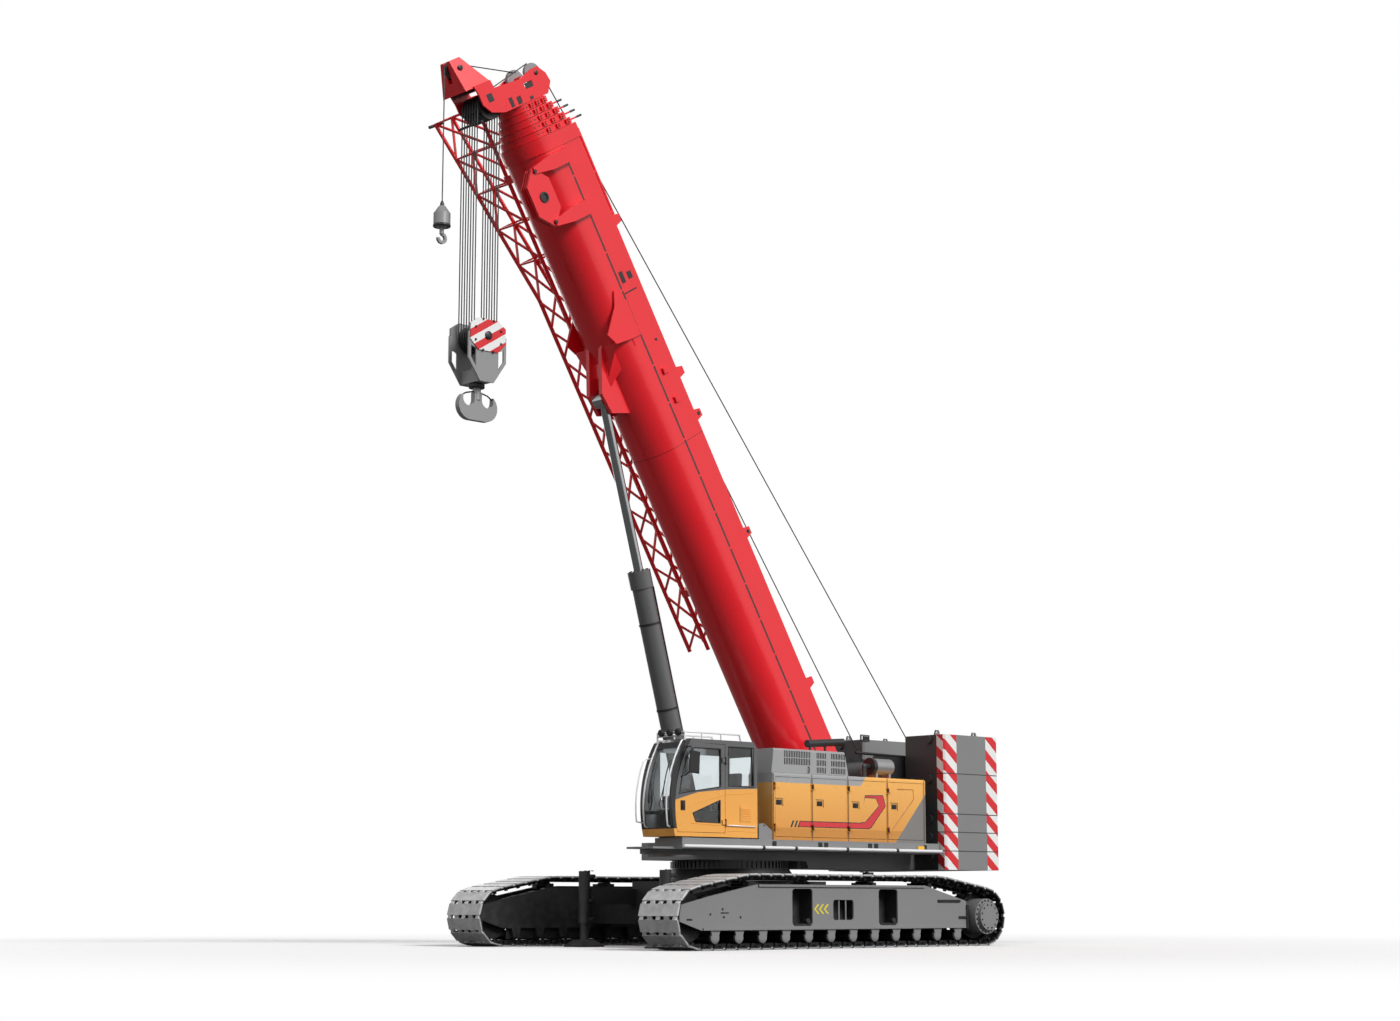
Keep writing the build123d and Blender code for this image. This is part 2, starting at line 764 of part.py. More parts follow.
def cab_profile(inset):
    """The cab's side view, bowed at the front, drawn in by an inset all round."""
    roof = (cab_brow[0] - 110, cab_top)
    face = make_face([
        Line((cab_rear, cab_bottom), (cab_nose, cab_bottom)),
        ThreePointArc((cab_nose, cab_bottom), cab_bulge, cab_brow),
        Line(cab_brow, roof),
        Line(roof, (cab_rear + 90, cab_top)),
        Line((cab_rear + 90, cab_top), (cab_rear, cab_top - 120)),
        Line((cab_rear, cab_top - 120), (cab_rear, cab_bottom)),
    ])
    return offset(face, amount=-inset, kind=Kind.INTERSECTION) if inset else face


def cab_solid(inset):
    """The cab's outer form, drawn in by an inset on every side."""
    return sheet(cab_profile(inset), cab_inner_y + inset, cab_outer_y - inset)


def left_of_cab(face):
    """A side-view face cut through the cab's left wall."""
    return sheet(face, cab_outer_y - cab_wall - 10, cab_outer_y + 10)


def ahead_of(x):
    """Side-view face of everything ahead of a place on the cab."""
    return Polygon((x, 0), (x + 3000, 0), (x + 3000, 2 * cab_top), (x, 2 * cab_top), align=None)


def above_sill(x):
    """Side-view face of what lies over the door window's sloping sill, ahead of a place."""
    return Polygon((x, cab_sill_rear), (cab_nose + 200, cab_sill_front), (cab_nose + 200, 2 * cab_top),
                   (x, 2 * cab_top), align=None)


cab_openings = [
    block(2400, 2900, cab_inner_y + 80, cab_outer_y - 80, 2380, 3490),
    block(2600, 2900, cab_inner_y + 80, cab_outer_y - 80, 2090, 2330),
    block(1250, 2280, cab_inner_y + 120, cab_outer_y - 120, cab_top - 60, cab_top + 10),
    left_of_cab(Polygon((cab_rear + 90, 2870), (cab_door_rear - 80, 2850), (cab_door_rear - 80, 3550),
                        (cab_rear + 130, 3550), align=None)),
    block(cab_rear + 140, 2380, cab_inner_y - 10, cab_inner_y + 60, 2600, 3440),
    block(cab_rear - 10, cab_rear + 60, cab_inner_y + 120, cab_outer_y - 120, 2750, 3400),
]
cab_doorway = left_of_cab(cab_profile(cab_door_margin) & ahead_of(cab_door_rear))
cab_door_leaf = left_of_cab(cab_profile(cab_door_margin + door_gap) & ahead_of(cab_door_rear + door_gap))
cab_door_windows = [
    left_of_cab(cab_profile(cab_door_margin + cab_door_frame) & above_sill(cab_door_rear + 110)),
    left_of_cab(Polygon((2320, 2350), (cab_door_rear + 125, 2590), (cab_door_rear + 125, 2190), (2250, 2200),
                        align=None)),
]
cab_walls = cab_solid(0.0) - cab_solid(cab_wall)
glass_layer = cab_solid(glass_inset) - cab_solid(glass_inset + glass_thickness)


def cab_shell():
    shell = cab_walls - cab_doorway
    for opening in cab_openings:
        shell -= opening
    for z in cab_hinges:
        shell += hinge_post(cab_door_rear, cab_outer_y + hinge_stand, z, -1)
    return shell


def cab_glass():
    return [glass_layer & opening for opening in cab_openings]


def cab_door():
    door = cab_walls & cab_door_leaf
    for window in cab_door_windows:
        door -= window
    for z in cab_hinges:
        door += hinge_leaf(cab_door_rear, cab_outer_y + hinge_stand, z, -1)
    return door


def cab_seat():
    seat = block(1000, 1500, 850, 1310, cab_bottom + cab_wall, 2420)
    back = plate([(1110, 2300), (1030, 3100), (930, 3100), (960, 2300)], 850, 1310)
    return seat + fillet(back.edges().filter_by(Axis.Y), 30)


def tube_face(shrink):
    """Boom section: flat top and sides over a half-round belly."""
    half = boom_width / 2 - shrink
    top = boom_top - shrink
    low = boom_belly + shrink
    shoulder = low + half
    edges = [
        Line((-half, shoulder), (-half, top)),
        Line((-half, top), (half, top)),
        Line((half, top), (half, shoulder)),
        ThreePointArc((half, shoulder), (0, low), (-half, shoulder)),
    ]
    return make_face(edges)


def tube(shrink, wall, start, end):
    """Hollow stretch of a boom section, in the boom's own frame."""
    ring = tube_face(shrink) - tube_face(shrink + wall)
    return extrude(Plane((start, 0, 0), x_dir=(0, 1, 0), z_dir=(1, 0, 0)) * ring, amount=end - start)


def boom_base():
    """Base section with a head collar, foot bosses, top lugs and a closed tail."""
    body = tube(0.0, boom_wall, boom_tail, boom_head_end)
    body += tube(-collar_rim, collar_rim + boom_wall, boom_head_end - 270, boom_head_end)
    for x in (3930, 7840):
        lug = plate([(x - 140, boom_top - 5), (x + 140, boom_top - 5), (x + 110, boom_top + 230),
                     (x - 90, boom_top + 230)], 60, 100)
        body += lug - across(x + 10, boom_top + 130, 45, 50, 110)
    for side in (1, -1):
        body += across(0, 0, 240, side * (boom_width / 2 - boom_wall - 60), side * boom_width / 2)
        body -= across(0, 0, boom_pin_radius + running_gap, side * 300, side * (boom_width / 2 + 10))
    return boom_frame * body


def cylinder_bracket():
    """V-shaped saddle that wraps the boom's belly, and two ears under it that hold the rod eye's pin."""
    foot = Pos(9190, 0, -370) * Rectangle(220, 440)
    crown = Pos(10110, 0, 300) * Rectangle(1020, boom_width + 24)
    bracket = loft([foot, crown])
    for side in (1, -1):
        bracket += plate(
            [(eye_along - 240, -eye_below - 120), (eye_along + 160, -eye_below - 160),
             (eye_along + 1300, boom_belly + 240), (eye_along - 500, boom_belly + 240)],
            side * (eye_half + running_gap), side * (eye_half + 90),
        )
    tube_end = Plane((0, 0, 0), x_dir=(0, 1, 0), z_dir=(1, 0, 0)) * tube_face(-running_gap)
    bracket -= extrude(tube_end, amount=boom_head_end)
    pin = across(eye_along, -eye_below, eye_pin_radius - running_gap, -eye_half - 90, eye_half + 90)
    return boom_frame * (bracket + pin)


def boom_section(number):
    """Inner section with its head collar; number 2 is the outermost."""
    order = number - 1
    shrink = order * section_step
    collar_start = boom_head_end + collar_gap + (order - 1) * collar_pitch
    end = boom_head_end + collar_gap + (section_count - 2) * collar_pitch + 340 if number == section_count \
        else collar_start + collar_length
    body = tube(shrink, boom_wall, section_tail, end)
    play = section_step - boom_wall - running_gap
    body += tube(shrink - play, play + boom_wall, section_tail, section_tail + pad_length)
    body += tube(shrink - collar_rim, collar_rim + boom_wall, collar_start, collar_start + collar_length)
    middle = collar_start + collar_length / 2
    side = boom_width / 2 - shrink + collar_rim
    low = boom_axis_height + 60
    high = boom_top - shrink - 80
    for i in range(collar_blocks):
        z = low + (high - low) * i / (collar_blocks - 1)
        body += both_sides(block(middle - 40, middle + 40, side - 1, side + collar_block, z - 45, z + 45))
    if number < section_count:
        rod_top = boom_top + 70 + 62 * (section_count - number)
        body += upright(middle, side - 70, collar_rod, boom_top - shrink, rod_top)
    return boom_frame * body


def boom_head():
    """Two cheek plates with windows, cross tubes and a tapered nose that forks round its sheave."""
    cheek = [
        (14375, 905), (14560, 1075), (14740, 1040), (14900, 900), (14890, 700), (14810, 400), (14850, -250),
        (nose_root + 20, -270), (nose_root + 25, -690), (14820, -650), (14640, -650), (14470, -530),
        (14375, -230),
    ]
    half = boom_width / 2 - (section_count - 1) * section_step + running_gap
    windows = [block(14400, 14580, half - 1, half + head_plate + 1, -45, 45),
               block(14430, 14540, half - 1, half + head_plate + 1, 140, 250),
               block(14640, 14710, half - 1, half + head_plate + 1, 430, 650)]
    side = plate(cheek, half, half + head_plate) - windows
    root = Plane((nose_root, 0, -570), x_dir=(0, 1, 0), z_dir=(1, 0, 0)) * Rectangle(2 * half + 10, 620)
    tip = Plane((nose_tip, 0, -660), x_dir=(0, 1, 0), z_dir=(1, 0, 0)) * Rectangle(250, 260)
    slot_start = nose_sheave[0] - nose_sheave_radius - 10
    nose = loft([root, tip]) - block(slot_start, nose_tip + 10, -nose_slot, nose_slot, -1000, 0)
    head = nose + both_sides(side)
    head += across(nose_root - 25, -290, 50, -half - 1, half + 1)
    head += across(head_sheave[0], head_sheave[1], head_pin_radius, -half - 1, half + 1)
    head += across(idler[0], idler[1], small_pin_radius, -half - 1, half + 1)
    head += across(nose_sheave[0], nose_sheave[1], small_pin_radius, -150, 150)
    return boom_frame * head


def head_sheaves():
    """Grooved rope sheaves on the head, idler and nose pins."""
    sheaves = []
    for i in range(fall_sheaves):
        y = (i - (fall_sheaves - 1) / 2) * fall_pitch
        disc = across(head_sheave[0], head_sheave[1], head_sheave_radius, y - 30, y + 30)
        bore = across(head_sheave[0], head_sheave[1], head_pin_radius + running_gap, y - 40, y + 40)
        sheaves.append(disc - bore)
    for y in (line_y, -line_y):
        disc = across(idler[0], idler[1], idler_radius, y - 30, y + 30)
        sheaves.append(disc - across(idler[0], idler[1], small_pin_radius + running_gap, y - 40, y + 40))
    disc = across(nose_sheave[0], nose_sheave[1], nose_sheave_radius - fall_radius, -40, 40)
    sheaves.append(disc - across(nose_sheave[0], nose_sheave[1], small_pin_radius + running_gap, -50, 50))
    return [boom_frame * s for s in sheaves]


def fly_jib():
    """Lattice jib stowed along the boom's right side: a straight stretch and a forked one."""
    near = -boom_width / 2 - jib_gap
    far = near - jib_width
    fork = near - jib_spread
    jib = None
    for y, end_y in ((near, near), (far, fork)):
        for z in (jib_low, jib_high):
            bend = jib_end if y == end_y else jib_knee
            chord = round_bar((jib_start, y, z), (bend, y, z), chord_radius)
            if y != end_y:
                chord += round_bar((jib_knee - 8, y, z), (jib_end, end_y, z), chord_radius - 2)
            jib = chord if jib is None else jib + chord
    bay = (jib_knee - jib_start) / lacing_bays
    for i in range(lacing_bays):
        a = jib_start + bay * i + 40
        b = jib_start + bay * (i + 1) - 40
        low, high = (jib_low, jib_high) if i % 2 else (jib_high, jib_low)
        left, right = (near, far) if i % 2 else (far, near)
        for y in (near, far):
            jib += square_bar((a, y, low), (b, y, high), lacing_size)
        for z in (jib_low, jib_high):
            jib += square_bar((a, left, z), (b, right, z), lacing_size)
    step = (jib_end - jib_knee) / spread_bays
    for i in range(spread_bays):
        a = jib_knee + step * i
        b = jib_knee + step * (i + 1)
        far_a = far + (fork - far) * i / spread_bays
        far_b = far + (fork - far) * (i + 1) / spread_bays
        for z in (jib_low, jib_high):
            jib += square_bar((a, near, z), (b, far_b, z), lacing_size)
            jib += square_bar((b, near, z), (b, far_b, z), lacing_size)
        jib += square_bar((a, far_a, jib_low), (b, far_b, jib_high), lacing_size)
        jib += square_bar((b, far_b, jib_low), (b, far_b, jib_high), lacing_size)
        jib += square_bar((b, near, jib_low), (b, near, jib_high), lacing_size)
    for x in jib_mounts:
        jib += block(x - 70, x + 70, near - 20, -boom_width / 2 - running_gap, jib_low - 60, jib_high + 60)
    return boom_frame * jib


def side_bracket():
    """Two arms on the boom's left flank with a pinned hexagonal plate between."""
    side = boom_width / 2 + running_gap
    arms = None
    for x in (12250, 13250):
        arm = plate(
            [(x - 130, 560), (x + 130, 560), (x + 130, 40), (x + 60, -420), (x - 60, -420), (x - 130, 40)],
            side, side + 120,
        )
        arms = arm if arms is None else arms + arm
    middle = 12750
    hexagon = [(middle + 560 * math.cos(math.radians(60 * i)), -430 + 330 * math.sin(math.radians(60 * i)))
               for i in range(6)]
    leaf = plate(hexagon, side + 30, side + 90) - across(middle, -430, 70, side, side + 120)
    return boom_frame * (arms + leaf)


def luff_rod():
    eye = rod_eye
    down = (-math.cos(cylinder_lean), -math.sin(cylinder_lean))
    tip = (eye[0] + down[0] * eye_radius * 0.8, eye[1] + down[1] * eye_radius * 0.8)
    end = (eye[0] + down[0] * rod_length, eye[1] + down[1] * rod_length)
    rod = round_bar((tip[0], 0, tip[1]), (end[0], 0, end[1]), rod_radius)
    rod += across(eye[0], eye[1], eye_radius, -eye_half, eye_half)
    return rod - across(eye[0], eye[1], eye_pin_radius, -eye_half - 10, eye_half + 10)


def luff_barrel():
    foot = cylinder_foot
    up = (math.cos(cylinder_lean), math.sin(cylinder_lean))

    def at(s):
        return (foot[0] + up[0] * s, 0, foot[1] + up[1] * s)

    barrel = round_bar(at(120), at(barrel_length), barrel_radius)
    barrel += round_bar(at(barrel_length - 330), at(barrel_length), gland_radius)
    barrel += across(foot[0], foot[1], 200, -foot_half, foot_half)
    barrel -= across(foot[0], foot[1], 110, -foot_half - 10, foot_half + 10)
    return barrel - round_bar(at(300), at(barrel_length + 10), rod_radius + running_gap)


head_pin = on_boom(*head_sheave)
nose_pin = on_boom(*nose_sheave)
fall_reach = head_sheave_radius + fall_radius + running_gap


def main_falls():
    """Parted rope between the head sheaves and the hook block."""
    ropes = []
    for i in range(fall_sheaves):
        y = (i - (fall_sheaves - 1) / 2) * fall_pitch
        for side in (1, -1):
            ropes.append(upright(head_pin[0] + side * fall_reach, y, fall_radius, block_sheave_z, head_pin[1]))
    return ropes


def hook_block():
    """Two cheek frames with covers over the sheaves, tied by the hook's cross-head."""
    x = head_pin[0]
    reach = block_reach + 30
    low = block_bottom + 380
    waist = block_sheave_z - 280
    frame = Polygon((x - 150, block_bottom), (x + 150, block_bottom), (x + reach, low),
                    (x + reach, waist + 300), (x - reach, waist + 300), (x - reach, low), align=None)
    for side in (1, -1):
        frame -= Polygon((x + side * 245, block_bottom + 240), (x + side * (reach - 60), low + 20),
                         (x + side * (reach - 60), waist + 60), (x + side * 245, waist + 20), align=None)
    cover = Polygon((x - 215, block_top), (x + 215, block_top), (x + block_reach, block_top - 115),
                    (x + block_reach, waist + 165), (x + 215, waist), (x - 215, waist),
                    (x - block_reach, waist + 165), (x - block_reach, block_top - 115), align=None)
    inner = block_half - 30
    cheek = sheet(frame, inner, block_half) + sheet(cover, inner, block_half + block_cover)
    body = across(x, block_sheave_z, block_pin_radius, -block_half + 1, block_half - 1)
    body += block(x - 140, x + 140, -block_half + 1, block_half - 1, block_bottom + 10, block_bottom + 240)
    body += both_sides(cheek)
    return body - upright(x, 0, shank_radius + running_gap, block_bottom - 10, block_bottom + 250)


def block_sheaves():
    sheaves = []
    x = head_pin[0]
    for i in range(fall_sheaves):
        y = (i - (fall_sheaves - 1) / 2) * fall_pitch
        disc = across(x, block_sheave_z, head_sheave_radius, y - 30, y + 30)
        sheaves.append(disc - across(x, block_sheave_z, block_pin_radius + running_gap, y - 40, y + 40))
    return sheaves


def main_hook():
    """Ramshorn hook on a swivelling shank: a bowed plate with two round throats open at the top."""
    x = head_pin[0]
    z = hook_bottom + hook_bow
    throat_z = z + 120
    neck = shank_radius + 5
    profile = Pos(x, z) * Rectangle(2 * hook_spread, 2 * hook_bow)
    for side in (1, -1):
        profile += Pos(x + side * hook_spread, z) * Circle(hook_bow)
    for side in (1, -1):
        throat = x + side * (neck + hook_throat)
        profile -= Pos(throat, throat_z) * Circle(hook_throat)
        profile -= Pos(throat, throat_z + hook_bow) * Rectangle(2 * hook_throat, 2 * hook_bow)
    hook = sheet(profile, -hook_thickness / 2, hook_thickness / 2)
    hook += upright(x, 0, shank_radius, throat_z, block_bottom + 290)
    return hook + upright(x, 0, 110, block_bottom + 240 + running_gap, block_bottom + 300)


aux_x = nose_pin[0] + nose_sheave_radius + running_gap


def aux_line():
    return upright(aux_x, 0, fall_radius, aux_ball_top, nose_pin[1])


def aux_ball():
    """Turned weight over the single-fall hook."""
    profile = [
        (0, aux_ball_bottom), (90, aux_ball_bottom), (aux_ball_radius, aux_ball_bottom + 50),
        (aux_ball_radius, aux_ball_top - 130), (60, aux_ball_top - running_gap),
        (0, aux_ball_top - running_gap),
    ]
    face = Plane.XZ * Polygon(*profile, align=None)
    body = Pos(aux_x, 0, 0) * revolve(face, axis=Axis.Z)
    return body - upright(aux_x, 0, 40 + running_gap, aux_ball_bottom - 10, aux_ball_bottom + 100)


def aux_hook():
    radius = 75
    thick = 52
    z = aux_hook_bottom + radius + thick / 2
    hook = upright(aux_x, 0, 40, z + radius, aux_ball_bottom + 95)
    ring = across(aux_x, z, radius + thick / 2, -thick / 2, thick / 2)
    ring -= across(aux_x, z, radius - thick / 2, -thick, thick)
    ring -= block(aux_x + 10, aux_x + 300, -100, 100, z, z + 200)
    return hook + ring


def hoist_line(drum, y):
    """Taut rope from the top of a winch drum to the idler on the boom head."""
    pulley = on_boom(*idler)
    near = drum_radius + line_radius + running_gap
    far = idler_radius + line_radius + running_gap
    dx = pulley[0] - drum[0]
    dz = pulley[1] - drum[1]
    reach = math.hypot(dx, dz)
    slant = math.atan2(dz, dx) + math.asin((far - near) / reach)
    side = (-math.sin(slant), math.cos(slant))
    start = (drum[0] + side[0] * near, y, drum[1] + side[1] * near)
    end = (pulley[0] + side[0] * far, y, pulley[1] + side[1] * far)
    return round_bar(start, end, line_radius)


os.makedirs("parts", exist_ok=True)

left_track, right_track = both_sides(track_loop())
left_frame, right_frame = both_sides(crawler_frame())
save("track_left", left_track)
save("track_right", right_track)
save("crawler_frame_left", left_frame)
save("crawler_frame_right", right_frame)
save("track_rollers", [s for r in roller_set() for s in both_sides(r)])
save("track_wheels", both_sides(idler_wheel), both_sides(sprocket))
save("final_drives", both_sides(final_drive))
save("car_body", car_body())
save("jacks", jacks())
save("slew_ring", slew_ring())

save("upper_frame", upper_frame())
save("side_decks", side_decks())
save("side_rails", side_rails())
save("engine_house", engine_house())
save("engine_cowl", engine_cowl())
save("engine_block", block(-2600, -400, 950, 1300, deck_top + house_wall, 2900))
for i, (front, rear) in enumerate(zip(house_door_splits, house_door_splits[1:])):
    save(f"house_door_{i + 1}", house_door(front, rear))
save("tank_house", tank_house())
save("exhaust_silencer", silencer(), exhaust_pipe())
save("winch_frame", winch_frame())
save("winch_drums", winch_drum(main_drum), winch_drum(aux_drum))
save("counterweight_slabs", ballast_slabs())
save("counterweight_blocks", ballast_blocks())
save("cab_shell", cab_shell())
save("cab_glass", cab_glass())
save("cab_seat", cab_seat())
save("cab_door", cab_door())
save("cab_door_glass", [glass_layer & window for window in cab_door_windows])

save("boom_base", boom_base())
save("cylinder_bracket", cylinder_bracket())
save("side_bracket", side_bracket())
save("fly_jib", fly_jib())
for number in range(2, section_count + 1):
    save(f"boom_section_{number}", boom_section(number))
save("boom_head", boom_head())
save("head_sheaves", head_sheaves())
save("luff_rod", luff_rod())
save("luff_barrel", luff_barrel())

save("main_falls", main_falls())
save("hook_block", hook_block())
save("block_sheaves", block_sheaves())
save("main_hook", main_hook())
save("aux_line", aux_line())
save("aux_ball", aux_ball())
save("aux_hook", aux_hook())
save("main_hoist_line", hoist_line(main_drum, line_y))
save("aux_hoist_line", hoist_line(aux_drum, -line_y))
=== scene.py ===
"""Looks of a telescopic crawler crane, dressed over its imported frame, in metres.

+X is the crane's front, +Y its left (cab) side, +Z up, and the ground is z = 0.
"""

import functools
import math

import bpy
import numpy as np
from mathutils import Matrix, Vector


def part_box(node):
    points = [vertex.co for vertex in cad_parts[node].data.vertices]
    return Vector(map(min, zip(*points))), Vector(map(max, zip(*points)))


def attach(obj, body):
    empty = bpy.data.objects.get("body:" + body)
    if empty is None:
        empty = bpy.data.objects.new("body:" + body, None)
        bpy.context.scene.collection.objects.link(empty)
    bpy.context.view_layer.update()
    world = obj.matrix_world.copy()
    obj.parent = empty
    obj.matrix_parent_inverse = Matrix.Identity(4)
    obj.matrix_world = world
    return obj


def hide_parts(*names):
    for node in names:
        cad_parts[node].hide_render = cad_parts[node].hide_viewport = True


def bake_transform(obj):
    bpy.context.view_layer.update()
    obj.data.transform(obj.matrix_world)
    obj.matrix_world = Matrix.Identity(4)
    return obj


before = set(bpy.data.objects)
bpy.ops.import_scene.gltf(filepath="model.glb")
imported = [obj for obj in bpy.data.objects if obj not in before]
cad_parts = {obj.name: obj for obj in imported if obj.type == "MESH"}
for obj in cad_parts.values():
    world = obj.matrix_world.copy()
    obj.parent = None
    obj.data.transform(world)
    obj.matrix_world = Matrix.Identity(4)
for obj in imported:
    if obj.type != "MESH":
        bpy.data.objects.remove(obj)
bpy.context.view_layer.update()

# Car body: a welded box of thick plate with two cross beams and the pedestal for the slewing ring.
# It is sprayed satin charcoal; dust from the site lies on its level faces and low down.
# Support jacks stand near its four corners, with bands and bolts round their tubes.
charcoal = (0.020, 0.020, 0.022, 1)
site_dust = (0.33, 0.29, 0.24, 1)


def shader_group(name, inputs, outputs):
    """Empty shader group: a socket is a colour where its default has four numbers, else a plain number."""
    group = bpy.data.node_groups.new(name, "ShaderNodeTree")
    for direction, sockets in (("INPUT", inputs), ("OUTPUT", outputs)):
        for label, default in sockets.items():
            kind = "NodeSocketColor" if isinstance(default, tuple) else "NodeSocketFloat"
            socket = group.interface.new_socket(label, in_out=direction, socket_type=kind)
            if direction == "INPUT":
                socket.default_value = default
    return group, group.nodes.new("NodeGroupInput").outputs, group.nodes.new("NodeGroupOutput").inputs


def feed(tree, socket, value):
    """Gives an input its value: a node's first output, a socket or a constant."""
    if isinstance(value, bpy.types.Node):
        value = value.outputs[0]
    if isinstance(value, bpy.types.NodeSocket):
        tree.links.new(value, socket)
    elif value is not None:
        socket.default_value = value


def add(tree, kind, *values, **named):
    """New shader node: lower-case names are its settings, other names and the values in order its inputs."""
    made = tree.nodes.new("ShaderNode" + kind)
    for key in [key for key in named if key.islower()]:
        setattr(made, key, named.pop(key))
    for key, value in [*enumerate(values), *named.items()]:
        feed(tree, made.inputs[key], value)
    return made


def maths(tree, operation, *values):
    """One step of arithmetic on numbers or sockets."""
    return add(tree, "Math", *values, operation=operation).outputs[0]


def folded(tree, operation, *values):
    """One step of arithmetic carried through several values, two at a time."""
    return functools.reduce(lambda kept, value: maths(tree, operation, kept, value), values)


def between(tree, value, low, high):
    """Smooth ramp of a value: 0 below low, 1 above high."""
    ramp = add(tree, "MapRange", value, low, high, 0.0, 1.0, interpolation_type="SMOOTHSTEP")
    return ramp.outputs[0]


def two_tone(tree, mask, first, second):
    """Colour from first to second as the mask goes from 0 to 1, by the Mix node's colour sockets."""
    mix = add(tree, "Mix", data_type="RGBA")
    for index, value in ((0, mask), (6, first), (7, second)):
        feed(tree, mix.inputs[index], value)
    return mix.outputs[2]


def object_axes(tree):
    """Object coordinates as a vector and as x, y and z sockets."""
    place = add(tree, "TexCoord").outputs["Object"]
    return place, *add(tree, "SeparateXYZ", place).outputs


def normal_axes(tree):
    """The way the surface faces, as x, y and z sockets."""
    return add(tree, "SeparateXYZ", add(tree, "NewGeometry").outputs["Normal"]).outputs


def weather_group():
    """Slow cloudy tone times the paint, dust where faces look up or lie low, fine grain as height."""
    group, inputs, outputs = shader_group(
        "weather",
        {"Paint": (1, 1, 1, 1), "Dust": site_dust, "Dusty": 0.3, "Clouds": 0.1, "Rough": 0.4, "Grain": 60.0},
        {"Color": (1, 1, 1, 1), "Roughness": 0.0, "Height": 0.0},
    )
    place, _, _, height = object_axes(group)
    cloud = add(group, "TexNoise", Vector=place, Scale=0.8, Detail=5.0).outputs[0]
    drift = maths(group, "SUBTRACT", cloud, 0.5)
    tone = maths(group, "MULTIPLY_ADD", inputs["Clouds"], drift, 1.0)
    shaded = add(group, "VectorMath", inputs["Paint"], operation="SCALE", Scale=tone).outputs[0]
    level = between(group, normal_axes(group)[2], 0.35, 0.95)
    low = between(group, height, 1.5, 0.1)
    spots = add(group, "TexNoise", Vector=place, Scale=7.0, Detail=8.0).outputs[0]
    speck = between(group, spots, 0.35, 0.75)
    mask = folded(group, "MULTIPLY", maths(group, "MAXIMUM", level, low), speck, inputs["Dusty"])
    rougher = maths(group, "MULTIPLY_ADD", mask, 0.5, inputs["Rough"])
    grain = add(group, "TexNoise", Vector=place, Scale=inputs["Grain"], Detail=3.0).outputs[0]
    feed(group, outputs["Color"], two_tone(group, mask, shaded, inputs["Dust"]))
    feed(group, outputs["Roughness"], maths(group, "MULTIPLY_ADD", drift, 0.18, rougher))
    feed(group, outputs["Height"], grain)
    return group


weather = weather_group()


def show(tree, shader):
    """Sends a shader to the material's output, which the first call makes."""
    output = tree.nodes.get("Material Output") or tree.nodes.new("ShaderNodeOutputMaterial")
    feed(tree, output.inputs[0], shader)


def new_material(name, coat=0.0, coat_rough=0.08):
    """Material with one principled shader under a clear coat, and its node tree."""
    material = bpy.data.materials.new(name)
    material.use_nodes = True
    tree = material.node_tree
    tree.nodes.clear()
    shader = tree.nodes.new("ShaderNodeBsdfPrincipled")
    shader.inputs["Coat Weight"].default_value = coat
    shader.inputs["Coat Roughness"].default_value = coat_rough
    show(tree, shader)
    return material, tree, shader


def weathered(tree, shader, paint, dusty=0.3, clouds=0.12, rough=0.4, grain=60.0, bump=0.02, metallic=0.0):
    """Puts the weather group between a paint, given as a colour or a socket, and the shader."""
    cover = add(tree, "Group", node_tree=weather, Paint=paint, Dusty=dusty, Clouds=clouds, Rough=rough,
                Grain=grain)
    bumped = add(tree, "Bump", Height=cover.outputs["Height"], Strength=bump, Distance=0.01)
    feed(tree, shader.inputs["Base Color"], cover.outputs["Color"])
    feed(tree, shader.inputs["Roughness"], cover.outputs["Roughness"])
    feed(tree, shader.inputs["Normal"], bumped)
    shader.inputs["Metallic"].default_value = metallic


def painted(name, paint, coat=0.0, **cover):
    """Plain sprayed finish of one colour."""
    material, tree, shader = new_material(name, coat)
    weathered(tree, shader, paint, **cover)
    return material


def dress(material, *names):
    """Gives CAD nodes their finish."""
    for name in names:
        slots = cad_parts[name].data.materials
        slots.clear()
        slots.append(material)


charcoal_paint = painted("charcoal_paint", charcoal, dusty=0.08, rough=0.45)
dress(charcoal_paint, "car_body", "jacks")


def outward(shape):
    """The closed shape with its faces turned to look out: the sum of its signed volumes is made positive."""
    points, faces = shape
    fans = np.array([(face[0], face[i], face[i + 1]) for face in faces for i in range(1, len(face) - 1)])
    a, b, c = points[fans[:, 0]], points[fans[:, 1]], points[fans[:, 2]]
    volume = np.einsum("ij,ij->", a - points[0], np.cross(b - points[0], c - points[0]))
    return shape if volume > 0 else (points, [face[::-1] for face in faces])


def lofted(rings):
    """Closed skin over a stack of rings: quads join each ring to the next and one face caps each end."""
    rings = np.asarray(rings, float)
    count, around = rings.shape[:2]
    index = np.arange(count * around).reshape(count, around)
    beside = np.roll(index, -1, axis=1)
    quads = np.stack([index[:-1], beside[:-1], beside[1:], index[1:]], axis=-1).reshape(-1, 4)
    faces = quads.tolist() + [index[0][::-1].tolist(), index[-1].tolist()]
    return outward((rings.reshape(-1, 3), faces))


def joined(shapes):
    """Several shapes as one set of points and faces."""
    counts = np.cumsum([0] + [len(points) for points, _ in shapes])
    faces = [[v + int(start) for v in face] for start, (_, part) in zip(counts, shapes) for face in part]
    return np.concatenate([points for points, _ in shapes]), faces


def piece(name, shape, material, body, smooth=0.0, values=None):
    """Mesh of a shape, riding on a body; edges under the smooth angle, in degrees, are shaded round."""
    points, faces = shape
    mesh = bpy.data.meshes.new(name)
    mesh.from_pydata(points.tolist(), [], faces)
    for label, data in (values or {}).items():
        mesh.attributes.new(label, "FLOAT", "POINT").data.foreach_set("value", np.asarray(data, np.float32))
    mesh.materials.append(material)
    if smooth:
        mesh.shade_smooth()
        mesh.set_sharp_from_angle(angle=math.radians(smooth))
    made = bpy.data.objects.new(name, mesh)
    bpy.context.scene.collection.objects.link(made)
    if body:
        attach(made, body)
    return made


